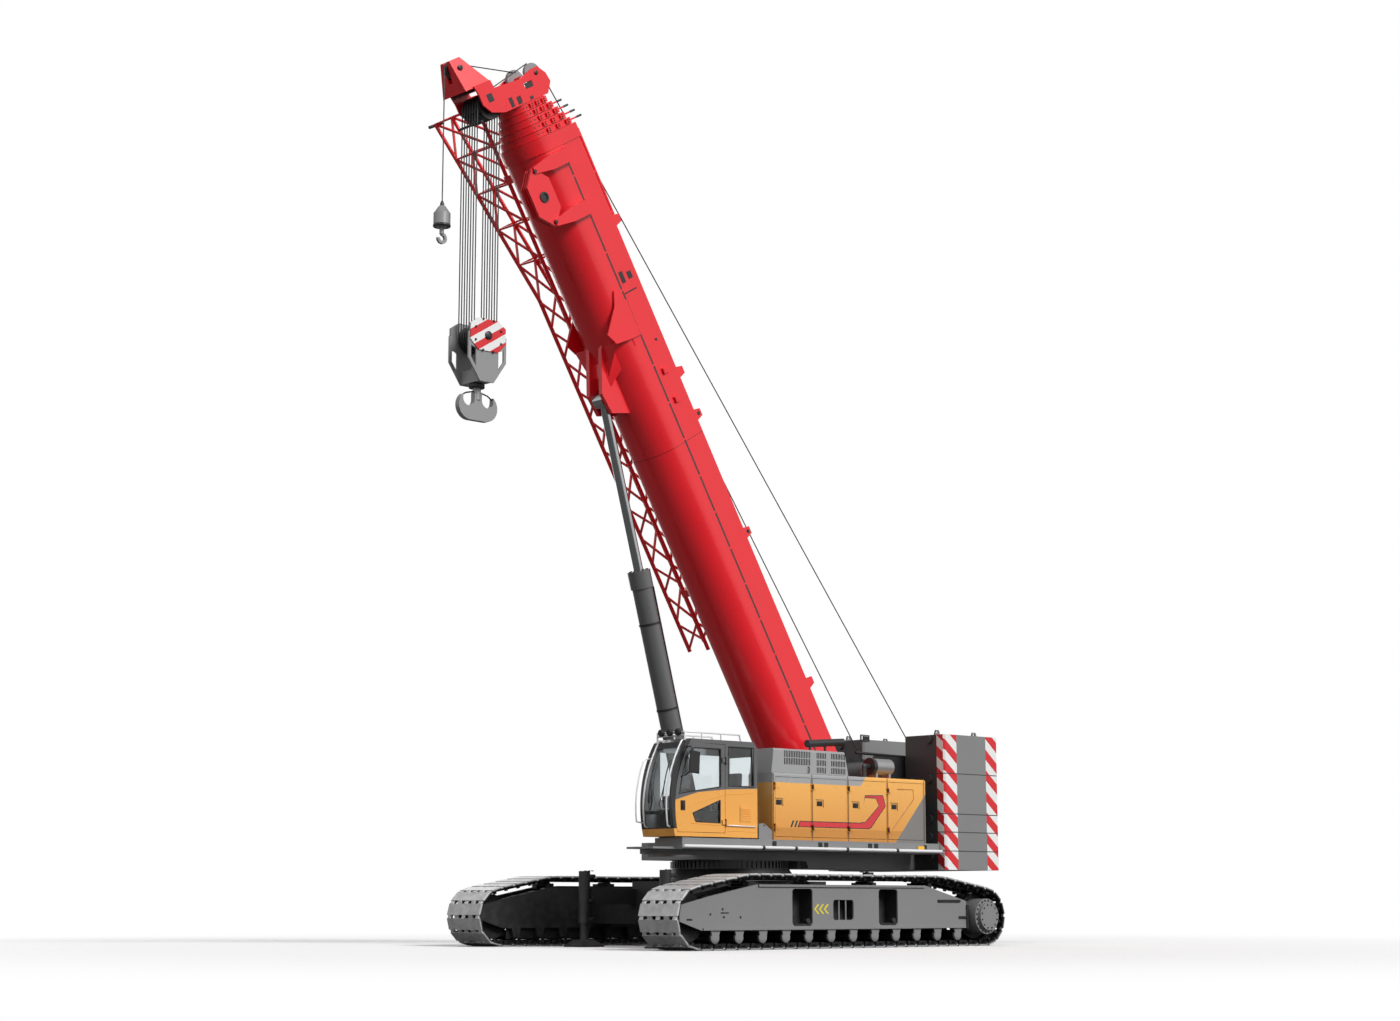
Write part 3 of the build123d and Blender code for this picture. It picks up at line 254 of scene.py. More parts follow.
def repeated(shape, turns, places):
    """The shape copied whole: each copy turned by its own matrix, then moved to its own place."""
    points, faces = shape
    moved = np.einsum("kij,nj->kni", turns, points) + np.asarray(places)[:, None, :]
    shift = len(points)
    copies = [[v + shift * k for v in face] for k in range(len(places)) for face in faces]
    return moved.reshape(-1, 3), copies


def square_to(axis):
    """An axis at unit length and two directions square to it and to each other."""
    axis = np.asarray(axis, float) / np.linalg.norm(axis)
    side = np.cross(axis, np.eye(3)[np.argmin(np.abs(axis))])
    side /= np.linalg.norm(side)
    return axis, side, np.cross(axis, side)


def turned(profile, centre, axis, sides=24):
    """Turned body: a circle at each (radius, distance along the axis) of the profile, skinned and capped."""
    radius, along = np.asarray(profile, float).T
    axis, side, up = square_to(axis)
    turn = np.arange(sides) * 2 * np.pi / sides
    circle = np.outer(np.cos(turn), side) + np.outer(np.sin(turn), up)
    return lofted(np.asarray(centre, float) + along[:, None, None] * axis + radius[:, None, None] * circle)


def bolts(places, axis, size, height):
    """Hexagon bolt heads standing along an axis, one at each place."""
    head = turned([(size, -0.002), (size, 0.8 * height), (0.8 * size, height)], (0, 0, 0), axis, 6)
    places = np.asarray(places, float)
    return repeated(head, np.broadcast_to(np.eye(3), (len(places), 3, 3)), places)


def on_circle(centre, axis, radius, count):
    """Places spaced evenly on a circle about an axis."""
    _, side, up = square_to(axis)
    turn = (np.arange(count) + 0.5)[:, None] * 2 * np.pi / count
    return np.asarray(centre, float) + radius * (np.cos(turn) * side + np.sin(turn) * up)


jack_x, jack_y, jack_top = 2.50, 1.10, 1.358
foot_top, band_heights = 0.024, (0.46, 0.80, 1.24)
bands = []
for x in (-jack_x, jack_x):
    for y in (-jack_y, jack_y):
        bands += [turned([(0.112, 0), (0.122, 0.01), (0.122, 0.05), (0.112, 0.06)], (x, y, z), (0, 0, 1))
                  for z in band_heights]
        bands += [bolts(on_circle((x, y, jack_top), (0, 0, 1), 0.075, 6), (0, 0, 1), 0.016, 0.014)]
        bands += [bolts(on_circle((x, y, foot_top), (0, 0, 1), 0.30, 4), (0, 0, 1), 0.022, 0.018)]
black_iron = painted("black_iron", (0.010, 0.010, 0.011, 1), dusty=0.05, rough=0.45)
piece("jack_bands", joined(bands), black_iron, "undercarriage", smooth=35)

# Crawler frames: box frames of plate with openings for the cross beams, grey outside and charcoal inside.
# Yellow arrows on each outer plate point to the front; bars, bolts and roller ears are fixed on the plates.
frame_grey = (0.235, 0.235, 0.238, 1)
arrow_yellow = (0.85, 0.68, 0.03, 1)


def crawler_paint():
    """Grey on the outer plate's face and ledges, charcoal in its openings and on the inner side."""
    material, tree, shader = new_material("crawler_paint")
    _, _, across, _ = object_axes(tree)
    outside = between(tree, maths(tree, "ABSOLUTE", across), 2.955, 2.965)
    weathered(tree, shader, two_tone(tree, outside, charcoal, frame_grey), dusty=0.10, rough=0.42)
    return material


dress(crawler_paint(), "crawler_frame_left", "crawler_frame_right")


def inset(outline, edge):
    """Outline drawn in by an edge: each corner moves along the sum of its sides' normals."""
    outline = np.asarray(outline, float)
    ahead = np.roll(outline, -1, axis=0) - outline
    ahead /= np.linalg.norm(ahead, axis=1, keepdims=True)
    area = np.sum(outline[:, 0] * np.roll(outline[:, 1], -1) - outline[:, 1] * np.roll(outline[:, 0], -1))
    normal = np.stack([-ahead[:, 1], ahead[:, 0]], axis=1) * np.sign(area)
    before = np.roll(normal, 1, axis=0)
    reach = 1 + np.sum(normal * before, axis=1, keepdims=True)
    return outline + edge * (normal + before) / np.maximum(reach, 0.3)


def slab(outline, low, high, edge=0.006):
    """Side-view outline (x, z) carried across from y = low to y = high, its rims chamfered by edge."""
    levels = ((low, edge), (low + edge, 0.0), (high - edge, 0.0), (high, edge))
    rings = []
    for y, draw in levels:
        flat = inset(outline, draw) if draw else np.asarray(outline, float)
        rings.append(np.stack([flat[:, 0], np.full(len(flat), y), flat[:, 1]], axis=1))
    return lofted(rings)


def brick(low, high, edge=0.006):
    """Chamfered box between two corners."""
    corners = [(low[0], low[2]), (high[0], low[2]), (high[0], high[2]), (low[0], high[2])]
    return slab(corners, low[1], high[1], min(edge, 0.3 * min(abs(np.subtract(high, low)))))


def mirrored(shape):
    """The shape's mirror image on the crane's other side, faces turned back out."""
    points, faces = shape
    return points * (1, -1, 1), [face[::-1] for face in faces]


def both_sides(*shapes):
    """The shapes and their mirror images as one."""
    return joined([*shapes, *map(mirrored, shapes)])


ledge_reach = 0.030
plate_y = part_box("crawler_frame_left")[1].y - ledge_reach
arrow_step, arrow_reach, arrow_half, arrow_thick = 0.12, 0.09, 0.085, 0.045
arrow_start, z = 0.44, 0.68
arrows = []
for i in range(3):
    x = arrow_start + arrow_step * i
    arrow = [(x, z - arrow_half), (x + arrow_thick, z - arrow_half), (x + arrow_thick + arrow_reach, z),
             (x + arrow_thick, z + arrow_half), (x, z + arrow_half), (x + arrow_reach, z)]
    arrows.append(slab(arrow, plate_y - 0.001, plate_y + 0.003, 0.001))
arrow_paint = painted("arrow_yellow", arrow_yellow, rough=0.5)
piece("direction_arrows", both_sides(*arrows), arrow_paint, "undercarriage")

plate_bolts = [bolts([(x, plate_y, z)], (0, 1, 0), 0.020, 0.012)
               for x, z in ((3.02, 0.685), (2.99, 0.552), (2.60, 0.55), (3.30, 0.60))]
bar_sizes = ((3.72, 3.84, 0.50, 0.525, 0.012, 0.004), (2.88, 3.06, 0.612, 0.630, 0.010, 0.003),
             (-3.06, -2.44, 0.80, 0.845, 0.030, 0.008), (-3.29, -3.23, 0.31, 0.75, 0.030, 0.008),
             (-3.29, -3.02, 0.50, 0.545, 0.024, 0.008))
plate_bars = [brick((x0, plate_y - 0.002, z0), (x1, plate_y + stand, z1), edge)
              for x0, x1, z0, z1, stand, edge in bar_sizes]
for x in (1.10, -1.10):
    plate_bars += [brick((x - 0.20, plate_y - 0.02, 0.395), (x + 0.20, plate_y + 0.012, 0.430), 0.006),
                   turned([(0.05, -0.04), (0.05, 0.02), (0.04, 0.03)], (x - 0.13, plate_y, 0.47), (0, 1, 0))]
piece("frame_fixings", both_sides(*plate_bolts, *plate_bars), black_iron, "undercarriage", smooth=35)
ear_profile = [(0.085, 0), (0.098, 0.01), (0.098, 0.05), (0.085, 0.06), (0.045, 0.062), (0.045, 0.03)]
ears = [turned(ear_profile, (x, 2.928, 0.204), (0, 1, 0)) for x in np.linspace(3.18, -3.00, 12)]
ear_paint = painted("ear_grey", frame_grey, dusty=0.12, rough=0.45)
inner_guard = brick((-3.30, 2.430, 0.13), (3.35, 2.460, 0.36), 0.006)
piece("roller_guards", both_sides(inner_guard), black_iron, "undercarriage")
piece("roller_ears", both_sides(*ears), ear_paint, "undercarriage", smooth=35)

# Tracks: cast steel shoes pinned end to end into a loop over the wheels, fingers interlocking at each pin.
# The treads are polished by the ground, and the joints and the inside stay dark with grease.
shoe_count = 64
track_low, track_high = (np.array(corner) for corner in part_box("track_left"))
shoe_width = track_high[1] - track_low[1]
track_middle = (track_high[1] + track_low[1]) / 2
wheel_x, wheel_z = 3.66, 0.54
wheel_reach = track_high[0] - wheel_x
run_front, run_rear, run_top = 2.50, -2.40, track_high[2]


def track_pins():
    """Pins on the loop, as (x, z): two arcs and the lines to the top run, cut into equal lengths."""
    def leaves(run_x):
        """Angle on the wheel's circle where the line to the run's end leaves it."""
        dx, dz = run_x - wheel_x, run_top - wheel_z
        return np.arctan2(dz, dx) - np.arccos(wheel_reach / np.hypot(dx, dz))

    front = np.linspace(-np.pi / 2, leaves(run_front), 80)
    rear = np.linspace(np.pi - leaves(-run_rear), 1.5 * np.pi, 80)
    arcs = [np.stack([x + wheel_reach * np.cos(turn), wheel_z + wheel_reach * np.sin(turn)], axis=1)
            for x, turn in ((wheel_x, front), (-wheel_x, rear))]
    loop = np.concatenate([arcs[0], [(run_front, run_top), (run_rear, run_top)], arcs[1], arcs[0][:1]])
    reached = np.concatenate([[0], np.cumsum(np.linalg.norm(np.diff(loop, axis=0), axis=1))])
    wanted = np.arange(shoe_count) * reached[-1] / shoe_count
    return np.stack([np.interp(wanted, reached, loop[:, 0]), np.interp(wanted, reached, loop[:, 1])], axis=1)


def track_shoe(pitch):
    """One shoe: x along the track, y across it, z inwards from the tread."""
    half = shoe_width / 2
    body_reach = 0.37 * pitch
    root, tip = body_reach - 0.02, 0.5 * pitch + 0.030
    shapes = [brick((-body_reach, -half, 0.0), (body_reach, half, 0.052), 0.010)]
    for y in (-0.205, 0.205):
        shapes.append(brick((root, y - 0.060, 0.012), (tip, y + 0.060, 0.072), 0.012))
    for y in (-0.415, 0.0, 0.415):
        shapes.append(brick((-tip, y - 0.050, 0.012), (-root, y + 0.050, 0.072), 0.012))
    for y in (-0.2, 0.2):
        shapes.append(brick((-0.40 * pitch, y - 0.05, 0.045), (0.40 * pitch, y + 0.05, 0.110), 0.012))
    for y in (-0.40, 0.40):
        shapes.append(brick((-0.10 * pitch, y - 0.035, 0.045), (0.10 * pitch, y + 0.035, 0.108), 0.016))
    return joined(shapes)


def track_steel():
    """Polished treads over dark cast sides: the tread mask is the point's own value."""
    material, tree, shader = new_material("track_steel")
    tread = add(tree, "Attribute", attribute_name="tread").outputs["Fac"]
    place, *_ = object_axes(tree)
    scuff = between(tree, add(tree, "TexNoise", Vector=place, Scale=9.0, Detail=6.0).outputs[0], 0.25, 0.7)
    worn = maths(tree, "MULTIPLY_ADD", scuff, 0.25, 0.75)
    polished = maths(tree, "MULTIPLY", between(tree, tread, 0.2, 0.9), worn)
    steel = two_tone(tree, polished, (0.010, 0.010, 0.011, 1), (0.62, 0.62, 0.625, 1))
    weathered(tree, shader, steel, dusty=0.0, rough=0.42, grain=35.0, bump=0.12, metallic=0.3)
    return material


pins = track_pins()
next_pins = np.roll(pins, -1, axis=0)
runs = next_pins - pins
pitch = np.linalg.norm(runs, axis=1).max()
runs /= np.linalg.norm(runs, axis=1, keepdims=True)
zero = np.zeros(shoe_count)
shoe_turns = np.stack([
    np.stack([runs[:, 0], zero, -runs[:, 1]], axis=1),
    np.stack([zero, zero + 1, zero], axis=1),
    np.stack([runs[:, 1], zero, runs[:, 0]], axis=1),
], axis=1)
shoe_middles = (pins + next_pins) / 2
shoe_places = np.stack([shoe_middles[:, 0], zero + track_middle, shoe_middles[:, 1]], axis=1)
shoe = track_shoe(pitch)
treads = np.tile(shoe[0][:, 2] < 0.026, shoe_count)
left_track = repeated(shoe, shoe_turns, shoe_places)
shoe_steel = track_steel()
for side, loop in (("left", left_track), ("right", mirrored(left_track))):
    made = piece(f"shoes_{side}", loop, shoe_steel, "undercarriage", values={"tread": treads})
    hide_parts(f"track_{side}")

# Wheels, rollers and final drives: dark cast iron; the drive's cover is painted grey.
# Two rings of bolts hold the stepped cover of each drive.
cast_iron = painted("cast_iron", (0.030, 0.030, 0.031, 1), dusty=0.08, rough=0.5, grain=25.0, bump=0.2,
                    metallic=0.6)
dress(cast_iron, "track_wheels", "track_rollers")
frame_paint = painted("frame_grey", frame_grey, dusty=0.08, rough=0.42)
dress(frame_paint, "final_drives")
drive_x, drive_z, drive_step_y, drive_end_y = -3.66, 0.54, 3.130, 3.200
drive_bolts = both_sides(
    bolts(on_circle((drive_x, drive_step_y, drive_z), (0, 1, 0), 0.290, 20), (0, 1, 0), 0.018, 0.016),
    bolts(on_circle((drive_x, drive_end_y, drive_z), (0, 1, 0), 0.215, 12), (0, 1, 0), 0.016, 0.014),
)
piece("drive_bolts", drive_bolts, black_iron, "undercarriage", smooth=35)

# Slewing ring: a forged ring with outside teeth, bolted on the pedestal.
# Its steel is bare and dark with grease.
ring_steel = painted("ring_steel", (0.035, 0.034, 0.033, 1), dusty=0.15, rough=0.38, metallic=0.5)
dress(ring_steel, "slew_ring")

# Upper frame and side decks: welded plate in grey; the decks have rolled lozenges against slipping.
# The winch frame at the rear is charcoal.
dress(charcoal_paint, "winch_frame")
dress(frame_paint, "upper_frame")


def deck_paint():
    """Grey paint over raised lozenges: level faces rise where the product of two crossed waves is high."""
    material, tree, shader = new_material("deck_paint")
    weathered(tree, shader, (0.24, 0.24, 0.243, 1), dusty=0.12, rough=0.5)
    _, along, across, _ = object_axes(tree)
    waves = [maths(tree, "SINE", maths(tree, "MULTIPLY", maths(tree, step, along, across), 95.0))
             for step in ("ADD", "SUBTRACT")]
    lozenge = between(tree, maths(tree, "MULTIPLY", *waves), 0.25, 0.45)
    lifted = maths(tree, "MULTIPLY", lozenge, maths(tree, "GREATER_THAN", normal_axes(tree)[2], 0.9))
    feed(tree, shader.inputs["Normal"], add(tree, "Bump", Height=lifted, Strength=0.6, Distance=0.006))
    return material


dress(deck_paint(), "side_decks")

# Deck-edge rails: drawn tube, zinc plated, held by dark clamps and brackets.
# An amber marker lamp and its socket sit on each deck's edge near the rear.
rail_silver = painted("rail_silver", (0.80, 0.80, 0.81, 1), dusty=0.05, rough=0.3, metallic=0.15)
dress(rail_silver, "side_rails")
rail_y, rail_z = 1.532, 1.77
bracket_places = (0.303, -0.893, -1.049, -2.24, -2.407)
clamps = [brick((x - 0.050, 1.495, 1.805), (x + 0.050, 1.515, 1.890), 0.006) for x in bracket_places]
clamp_profile = [(0.0325, -0.035), (0.036, -0.03), (0.036, 0.03), (0.0325, 0.035)]
clamps += [turned(clamp_profile, (x, rail_y, rail_z), (1, 0, 0)) for x in (0.62, -0.209, -1.574, -2.954)]
right_rail_end = -0.4
right_clamps = [mirrored(c) for c in clamps if c[0][:, 0].max() < right_rail_end]
piece("rail_clamps", joined(clamps + right_clamps), black_iron, "upper", smooth=35)
amber = painted("amber_lens", (0.90, 0.48, 0.02, 1), coat=0.6, dusty=0.05, rough=0.2)
lens = brick((-3.762, 1.495, 1.800), (-3.580, 1.522, 1.865), 0.008)
piece("side_marker", both_sides(lens), amber, "upper")
socket = brick((-3.830, 1.495, 1.800), (-3.765, 1.525, 1.885), 0.008)
piece("marker_socket", both_sides(socket), black_iron, "upper")

# Engine house: pressed sheet doors in warm yellow under a grey belt that ends in a slant.
# A red flash edged in black crosses the doors, each with its latch; cowl and silencer stand on top.
# The yellow is painted lighter up high and darker low down, with more painted shade below the crease at the
# foot.
house_yellow = (0.88, 0.400, 0.070, 1)
yellow_painted_light, yellow_painted_shade = (0.92, 0.455, 0.095, 1), (0.72, 0.300, 0.044, 1)
foot_painted_shade = (0.60, 0.245, 0.034, 1)
belt_grey = (0.36, 0.362, 0.366, 1)
rear_grey, gap_painted_shade = (0.20, 0.19, 0.18, 1), (0.06, 0.027, 0.008, 1)
trim_red = (0.66, 0.020, 0.028, 1)
trim_black = (0.010, 0.010, 0.011, 1)
belt_bottom, belt_slant = 2.965, 0.62
outer_flash = [(-2.168, 2.798), (-2.674, 2.813), (-2.745, 2.602), (-2.334, 2.185), (-2.023, 2.178)]
inner_flash = [(-2.167, 2.743), (-2.467, 2.742), (-2.547, 2.606), (-2.160, 2.291), (-2.024, 2.288)]
strip = [(-0.410, 2.278), (-0.365, 2.160), (-2.300, 2.160), (-2.300, 2.278)]
slash_starts = (-0.160, -0.258, -0.345)
door_splits = (0.27, -0.734, -1.704, -2.794, -3.845)


def depth_in(tree, along, height, corners):
    """Depth inside a convex outline: the least of the distances to its sides' lines, below 0 outside."""
    corners = np.asarray(corners, float)
    middle = corners.mean(axis=0)
    sides = []
    for (x0, z0), (x1, z1) in zip(corners, np.roll(corners, -1, axis=0)):
        a, b = (z1 - z0, x0 - x1) / np.hypot(x1 - x0, z1 - z0)
        sign = np.sign(a * (middle[0] - x0) + b * (middle[1] - z0))
        lift = maths(tree, "MULTIPLY_ADD", height, sign * b, -sign * (a * x0 + b * z0))
        sides.append(maths(tree, "MULTIPLY_ADD", along, sign * a, lift))
    return folded(tree, "MINIMUM", *sides)


def nearest(tree, value, marks):
    """Distance from a value to the nearest of several marks."""
    gaps = [maths(tree, "ABSOLUTE", maths(tree, "SUBTRACT", value, mark)) for mark in marks]
    return folded(tree, "MINIMUM", *gaps)


def house_paint():
    """Yellow with painted shade deepening downwards and below the crease, a slant-ended grey belt, a red
    flash edged black, a grey rear corner, painted shade in the door gaps.
    """
    material, tree, shader = new_material("house_paint", coat=0.35)
    _, along, across, height = object_axes(tree)
    slant = maths(tree, "MULTIPLY_ADD", height, 0.9, along)
    belt = maths(tree, "MULTIPLY", between(tree, height, belt_bottom - 0.004, belt_bottom + 0.004),
                 between(tree, slant, belt_slant - 0.004, belt_slant + 0.004))
    # Painted shade: darker yellow low down, lighter up high, and darker again below the crease.
    rise = maths(tree, "DIVIDE", maths(tree, "SUBTRACT", height, 2.0), 0.95)
    paint = two_tone(tree, rise, yellow_painted_shade, yellow_painted_light)
    paint = two_tone(tree, between(tree, height, 2.150, 2.135), paint, foot_painted_shade)
    paint = two_tone(tree, belt, paint, belt_grey)
    rear = maths(tree, "MULTIPLY_ADD", along, 1.078, height)
    paint = two_tone(tree, between(tree, rear, -1.322, -1.332), paint, rear_grey)
    hollow = maths(tree, "MULTIPLY", depth_in(tree, along, height, inner_flash), -1.0)
    flash = maths(tree, "MINIMUM", depth_in(tree, along, height, outer_flash), hollow)
    flash = maths(tree, "MAXIMUM", flash, depth_in(tree, along, height, strip))
    slashes = []
    for low in slash_starts:
        slash = [(low, 2.155), (low - 0.045, 2.155), (low - 0.108, 2.280), (low - 0.063, 2.280)]
        slashes.append(depth_in(tree, along, height, slash))
    side = between(tree, across, 1.425, 1.435)
    drawn = between(tree, folded(tree, "MAXIMUM", flash, *slashes), -0.002, 0.002)
    paint = two_tone(tree, maths(tree, "MULTIPLY", drawn, side), paint, trim_black)
    core = maths(tree, "MULTIPLY", between(tree, flash, 0.013, 0.017), side)
    paint = two_tone(tree, core, paint, trim_red)
    # The door gaps on the side get painted shade in dark brown.
    split = between(tree, nearest(tree, along, door_splits), 0.012, 0.009)
    paint = two_tone(tree, maths(tree, "MULTIPLY", split, side), paint, gap_painted_shade)
    weathered(tree, shader, paint, dusty=0.05, clouds=0.10, rough=0.28)
    return material


yellow_paint = house_paint()
dress(yellow_paint, "engine_house", *(f"house_door_{i}" for i in range(1, 5)))


def rod(path, radius, sides=10):
    """Round bar along a path: a circle at each point, square to the mean of the runs that meet there."""
    path = np.asarray(path, float)
    ahead = np.diff(path, axis=0)
    ahead /= np.linalg.norm(ahead, axis=1, keepdims=True)
    mean = np.concatenate([ahead[:1], ahead[:-1] + ahead[1:], ahead[-1:]])
    mean /= np.linalg.norm(mean, axis=1, keepdims=True)
    side = np.cross(mean, np.eye(3)[np.argmin(np.abs(ahead).max(axis=0))])
    side /= np.linalg.norm(side, axis=1, keepdims=True)
    up = np.cross(mean, side)
    turn = (np.arange(sides) * 2 * np.pi / sides)[None, :, None]
    circle = np.cos(turn) * side[:, None, :] + np.sin(turn) * up[:, None, :]
    return lofted(path[:, None, :] + radius * circle)


latch_places = ((0.133, 2.602), (-0.932, 2.603), (-1.902, 2.595), (-2.977, 2.600))
rubber_black = painted("rubber_black", (0.009, 0.009, 0.010, 1), dusty=0.08, rough=0.45, grain=120.0,
                       bump=0.1)
for i, (x, z) in enumerate(latch_places, 1):
    latch = joined([
        brick((x - 0.072, 1.447, z - 0.045), (x + 0.072, 1.459, z + 0.045), 0.004),
        brick((x - 0.050, 1.455, z - 0.026), (x + 0.030, 1.467, z + 0.026), 0.004),
        rod([(x + 0.10, 1.452, z + 0.07), (x - 0.10, 1.452, z + 0.07), (x - 0.10, 1.452, z - 0.07)], 0.006),
    ])
    piece(f"house_latch_{i}", latch, rubber_black, f"house_door_{i}")
fold = [(-3.078, 2.938), (-3.528, 2.943), (-3.538, 2.755), (-2.896, 2.141)]
pressing = rod([(x, 1.449, z) for x, z in fold], 0.009)
# The pressed fold is a darker yellow-brown: painted shade along the crease.
pressing_painted_shade = painted("pressing_painted_shade", (0.36, 0.145, 0.022, 1), dusty=0.05, rough=0.35)
piece("door_pressing", pressing, pressing_painted_shade, "house_door_4", smooth=50)


def cowl_paint():
    """Belt grey, with painted shade near black on the recessed faces of the slots behind the cowl's side."""
    material, tree, shader = new_material("cowl_paint")
    _, along, across, height = object_axes(tree)
    # Painted shade: the recessed slot faces behind the cowl's side are near black.
    slot_painted_shade = folded(tree, "MULTIPLY", between(tree, across, 1.416, 1.410), between(tree, across, 1.37, 1.38),
                  between(tree, height, 3.575, 3.565), between(tree, along, 0.0, -0.01))
    weathered(tree, shader, two_tone(tree, slot_painted_shade, belt_grey, trim_black), dusty=0.15, rough=0.36)
    return material


dress(cowl_paint(), "engine_cowl")
belt_paint = painted("belt_grey", belt_grey, coat=0.2, dusty=0.2, rough=0.35)
dress(belt_paint, "tank_house")
bent = [(1.415, 3.165), (1.450, 3.180), (1.450, 3.262), (1.415, 3.277)]
handle = rod([(-0.667, y, z) for y, z in bent], 0.010)
piece("cowl_handle", handle, rubber_black, "upper", smooth=50)
dress(cast_iron, "engine_block")


def silencer_paint():
    """Bright sheet on the silencer's barrel, soot black on its front end, the elbow and the stack pipe."""
    material, tree, shader = new_material("silencer_sheet")
    _, along, *_ = object_axes(tree)
    barrel = maths(tree, "MULTIPLY", between(tree, along, -2.70, -2.71), between(tree, along, -3.40, -3.39))
    sheet = two_tone(tree, barrel, (0.045, 0.045, 0.047, 1), (0.33, 0.33, 0.335, 1))
    weathered(tree, shader, sheet, dusty=0.06, rough=0.35, metallic=0.4)
    return material


dress(silencer_paint(), "exhaust_silencer")

# Winches: two drums wound with wire rope, in a charcoal frame behind the boom foot.
# A bar beside them carries a post with a framed mirror for watching the rope.
rope_wire = painted("rope_wire", (0.060, 0.060, 0.062, 1), dusty=0.03, rough=0.45, grain=180.0, bump=0.4,
                    metallic=0.5)
dress(charcoal_paint, "winch_drums")
drum_places = ((-4.90, 3.25), (-3.78, 3.21))
coil_pitch, coil_half = 0.024, 0.444
coil_step = np.linspace(-coil_half, coil_half, int(2 * coil_half / coil_pitch) * 6 + 1)
coil_radius = 0.334 + 0.012 * np.abs(np.sin(np.pi * coil_step / coil_pitch))
coil_profile = np.stack([coil_radius, coil_step], axis=1)
coils = [turned(coil_profile, (x, 0.0, z), (0, 1, 0), 48) for x, z in drum_places]
piece("rope_coils", joined(coils), rope_wire, "upper", smooth=60)
lookout_y = 0.475
lookout_lines = (([(-2.96, 3.68), (-4.52, 3.65)], 0.028), ([(-3.115, 3.60), (-3.115, 4.04)], 0.016),
                 ([(-3.115, 4.03), (-3.35, 4.03), (-3.35, 3.91), (-3.115, 3.91)], 0.012))
lookout = [rod([(x, lookout_y, z) for x, z in line], radius) for line, radius in lookout_lines]
lookout.append(brick((-3.335, lookout_y - 0.013, 3.925), (-3.17, lookout_y + 0.013, 4.015), 0.006))
piece("winch_lookout", joined(lookout), black_iron, "upper", smooth=40)

# Counterweight: cast slabs below and two stacks of blocks above, painted grey and laid on one another.
# Red and white warning bars follow the upright edges.
ballast_grey = (0.23, 0.23, 0.233, 1)
warning_red = (0.70, 0.022, 0.028, 1)
warning_white = (0.88, 0.88, 0.87, 1)
bar_period, bar_slope = 0.414, 0.81
stack_front, bar_width, slab_joints = -4.29, 0.366, (1.783, 2.149, 2.502, 3.287)


def warning_bars_group():
    """Slanted bars: a saw of height plus slope times place along, 1 on red and 0 on white."""
    group, inputs, outputs = shader_group(
        "warning_bars", {"Along": 0.0, "Height": 0.0, "Slope": 1.0, "Period": 0.4}, {"Red": 0.0})
    slant = maths(group, "MULTIPLY_ADD", inputs["Along"], inputs["Slope"], inputs["Height"])
    saw = maths(group, "FRACT", maths(group, "DIVIDE", slant, inputs["Period"]))
    feed(group, outputs["Red"], maths(group, "GREATER_THAN", saw, 0.5))
    return group


warning_bars = warning_bars_group()


def barred(tree, along, height, slope, period):
    """Red and white bars over two place sockets."""
    bars = add(tree, "Group", node_tree=warning_bars, Along=along, Height=height, Slope=slope, Period=period)
    return two_tone(tree, bars.outputs[0], warning_white, warning_red)


def ballast_paint():
    """Bars beside the upright edges, grey between, painted shade near black on the front faces and ahead of
    the stacks, dark along the joints of the slabs.
    """
    material, tree, shader = new_material("ballast_paint")
    _, along, across, height = object_axes(tree)
    low, high = (np.array(corner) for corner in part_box("counterweight_slabs"))
    wide = maths(tree, "ABSOLUTE", across)
    ends = maths(tree, "MAXIMUM", maths(tree, "GREATER_THAN", along, stack_front - bar_width),
                 maths(tree, "LESS_THAN", along, low[0] + 0.37))
    side = maths(tree, "GREATER_THAN", wide, high[1] - 0.037)
    # Faces looking forward, and the slab fronts ahead of the stacks, get painted shade near black.
    ahead = maths(tree, "GREATER_THAN", normal_axes(tree)[0], 0.8)
    dark = maths(tree, "MAXIMUM", ahead, maths(tree, "GREATER_THAN", along, stack_front + 0.001))
    paint = two_tone(tree, dark, ballast_grey, (0.040, 0.040, 0.042, 1))
    paint = two_tone(tree, maths(tree, "MULTIPLY", ends, side), paint,
                     barred(tree, along, height, -bar_slope, bar_period))
    corner = folded(tree, "MULTIPLY", ahead, maths(tree, "GREATER_THAN", wide, 1.40),
                    maths(tree, "LESS_THAN", along, stack_front + 0.001))
    paint = two_tone(tree, corner, paint, barred(tree, wide, height, bar_slope, bar_period))
    joint = between(tree, nearest(tree, height, slab_joints), 0.012, 0.006)
    paint = two_tone(tree, joint, paint, (0.030, 0.030, 0.032, 1))
    weathered(tree, shader, paint, dusty=0.06, rough=0.42)
    return material


dress(ballast_paint(), "counterweight_slabs", "counterweight_blocks")

# Cab: pressed shell with a bowed front, black pillars, grey window frames and warm yellow below a belt line.
# Tubes guard its roof and windscreen, a mirror stands on the door, and rubber holds the clear glass.
frame_tone, lining_grey = (0.105, 0.106, 0.109, 1), (0.33, 0.33, 0.335, 1)
cab_side, cab_middle, cab_floor = 1.4985, 1.08, 2.07
bulge_x, bulge_z, bulge_curve = 2.812, 2.46, 0.27
belt_lines = ((-0.0457, 2.8560), (-0.1016, 2.9404), (-0.2739, 3.3193))


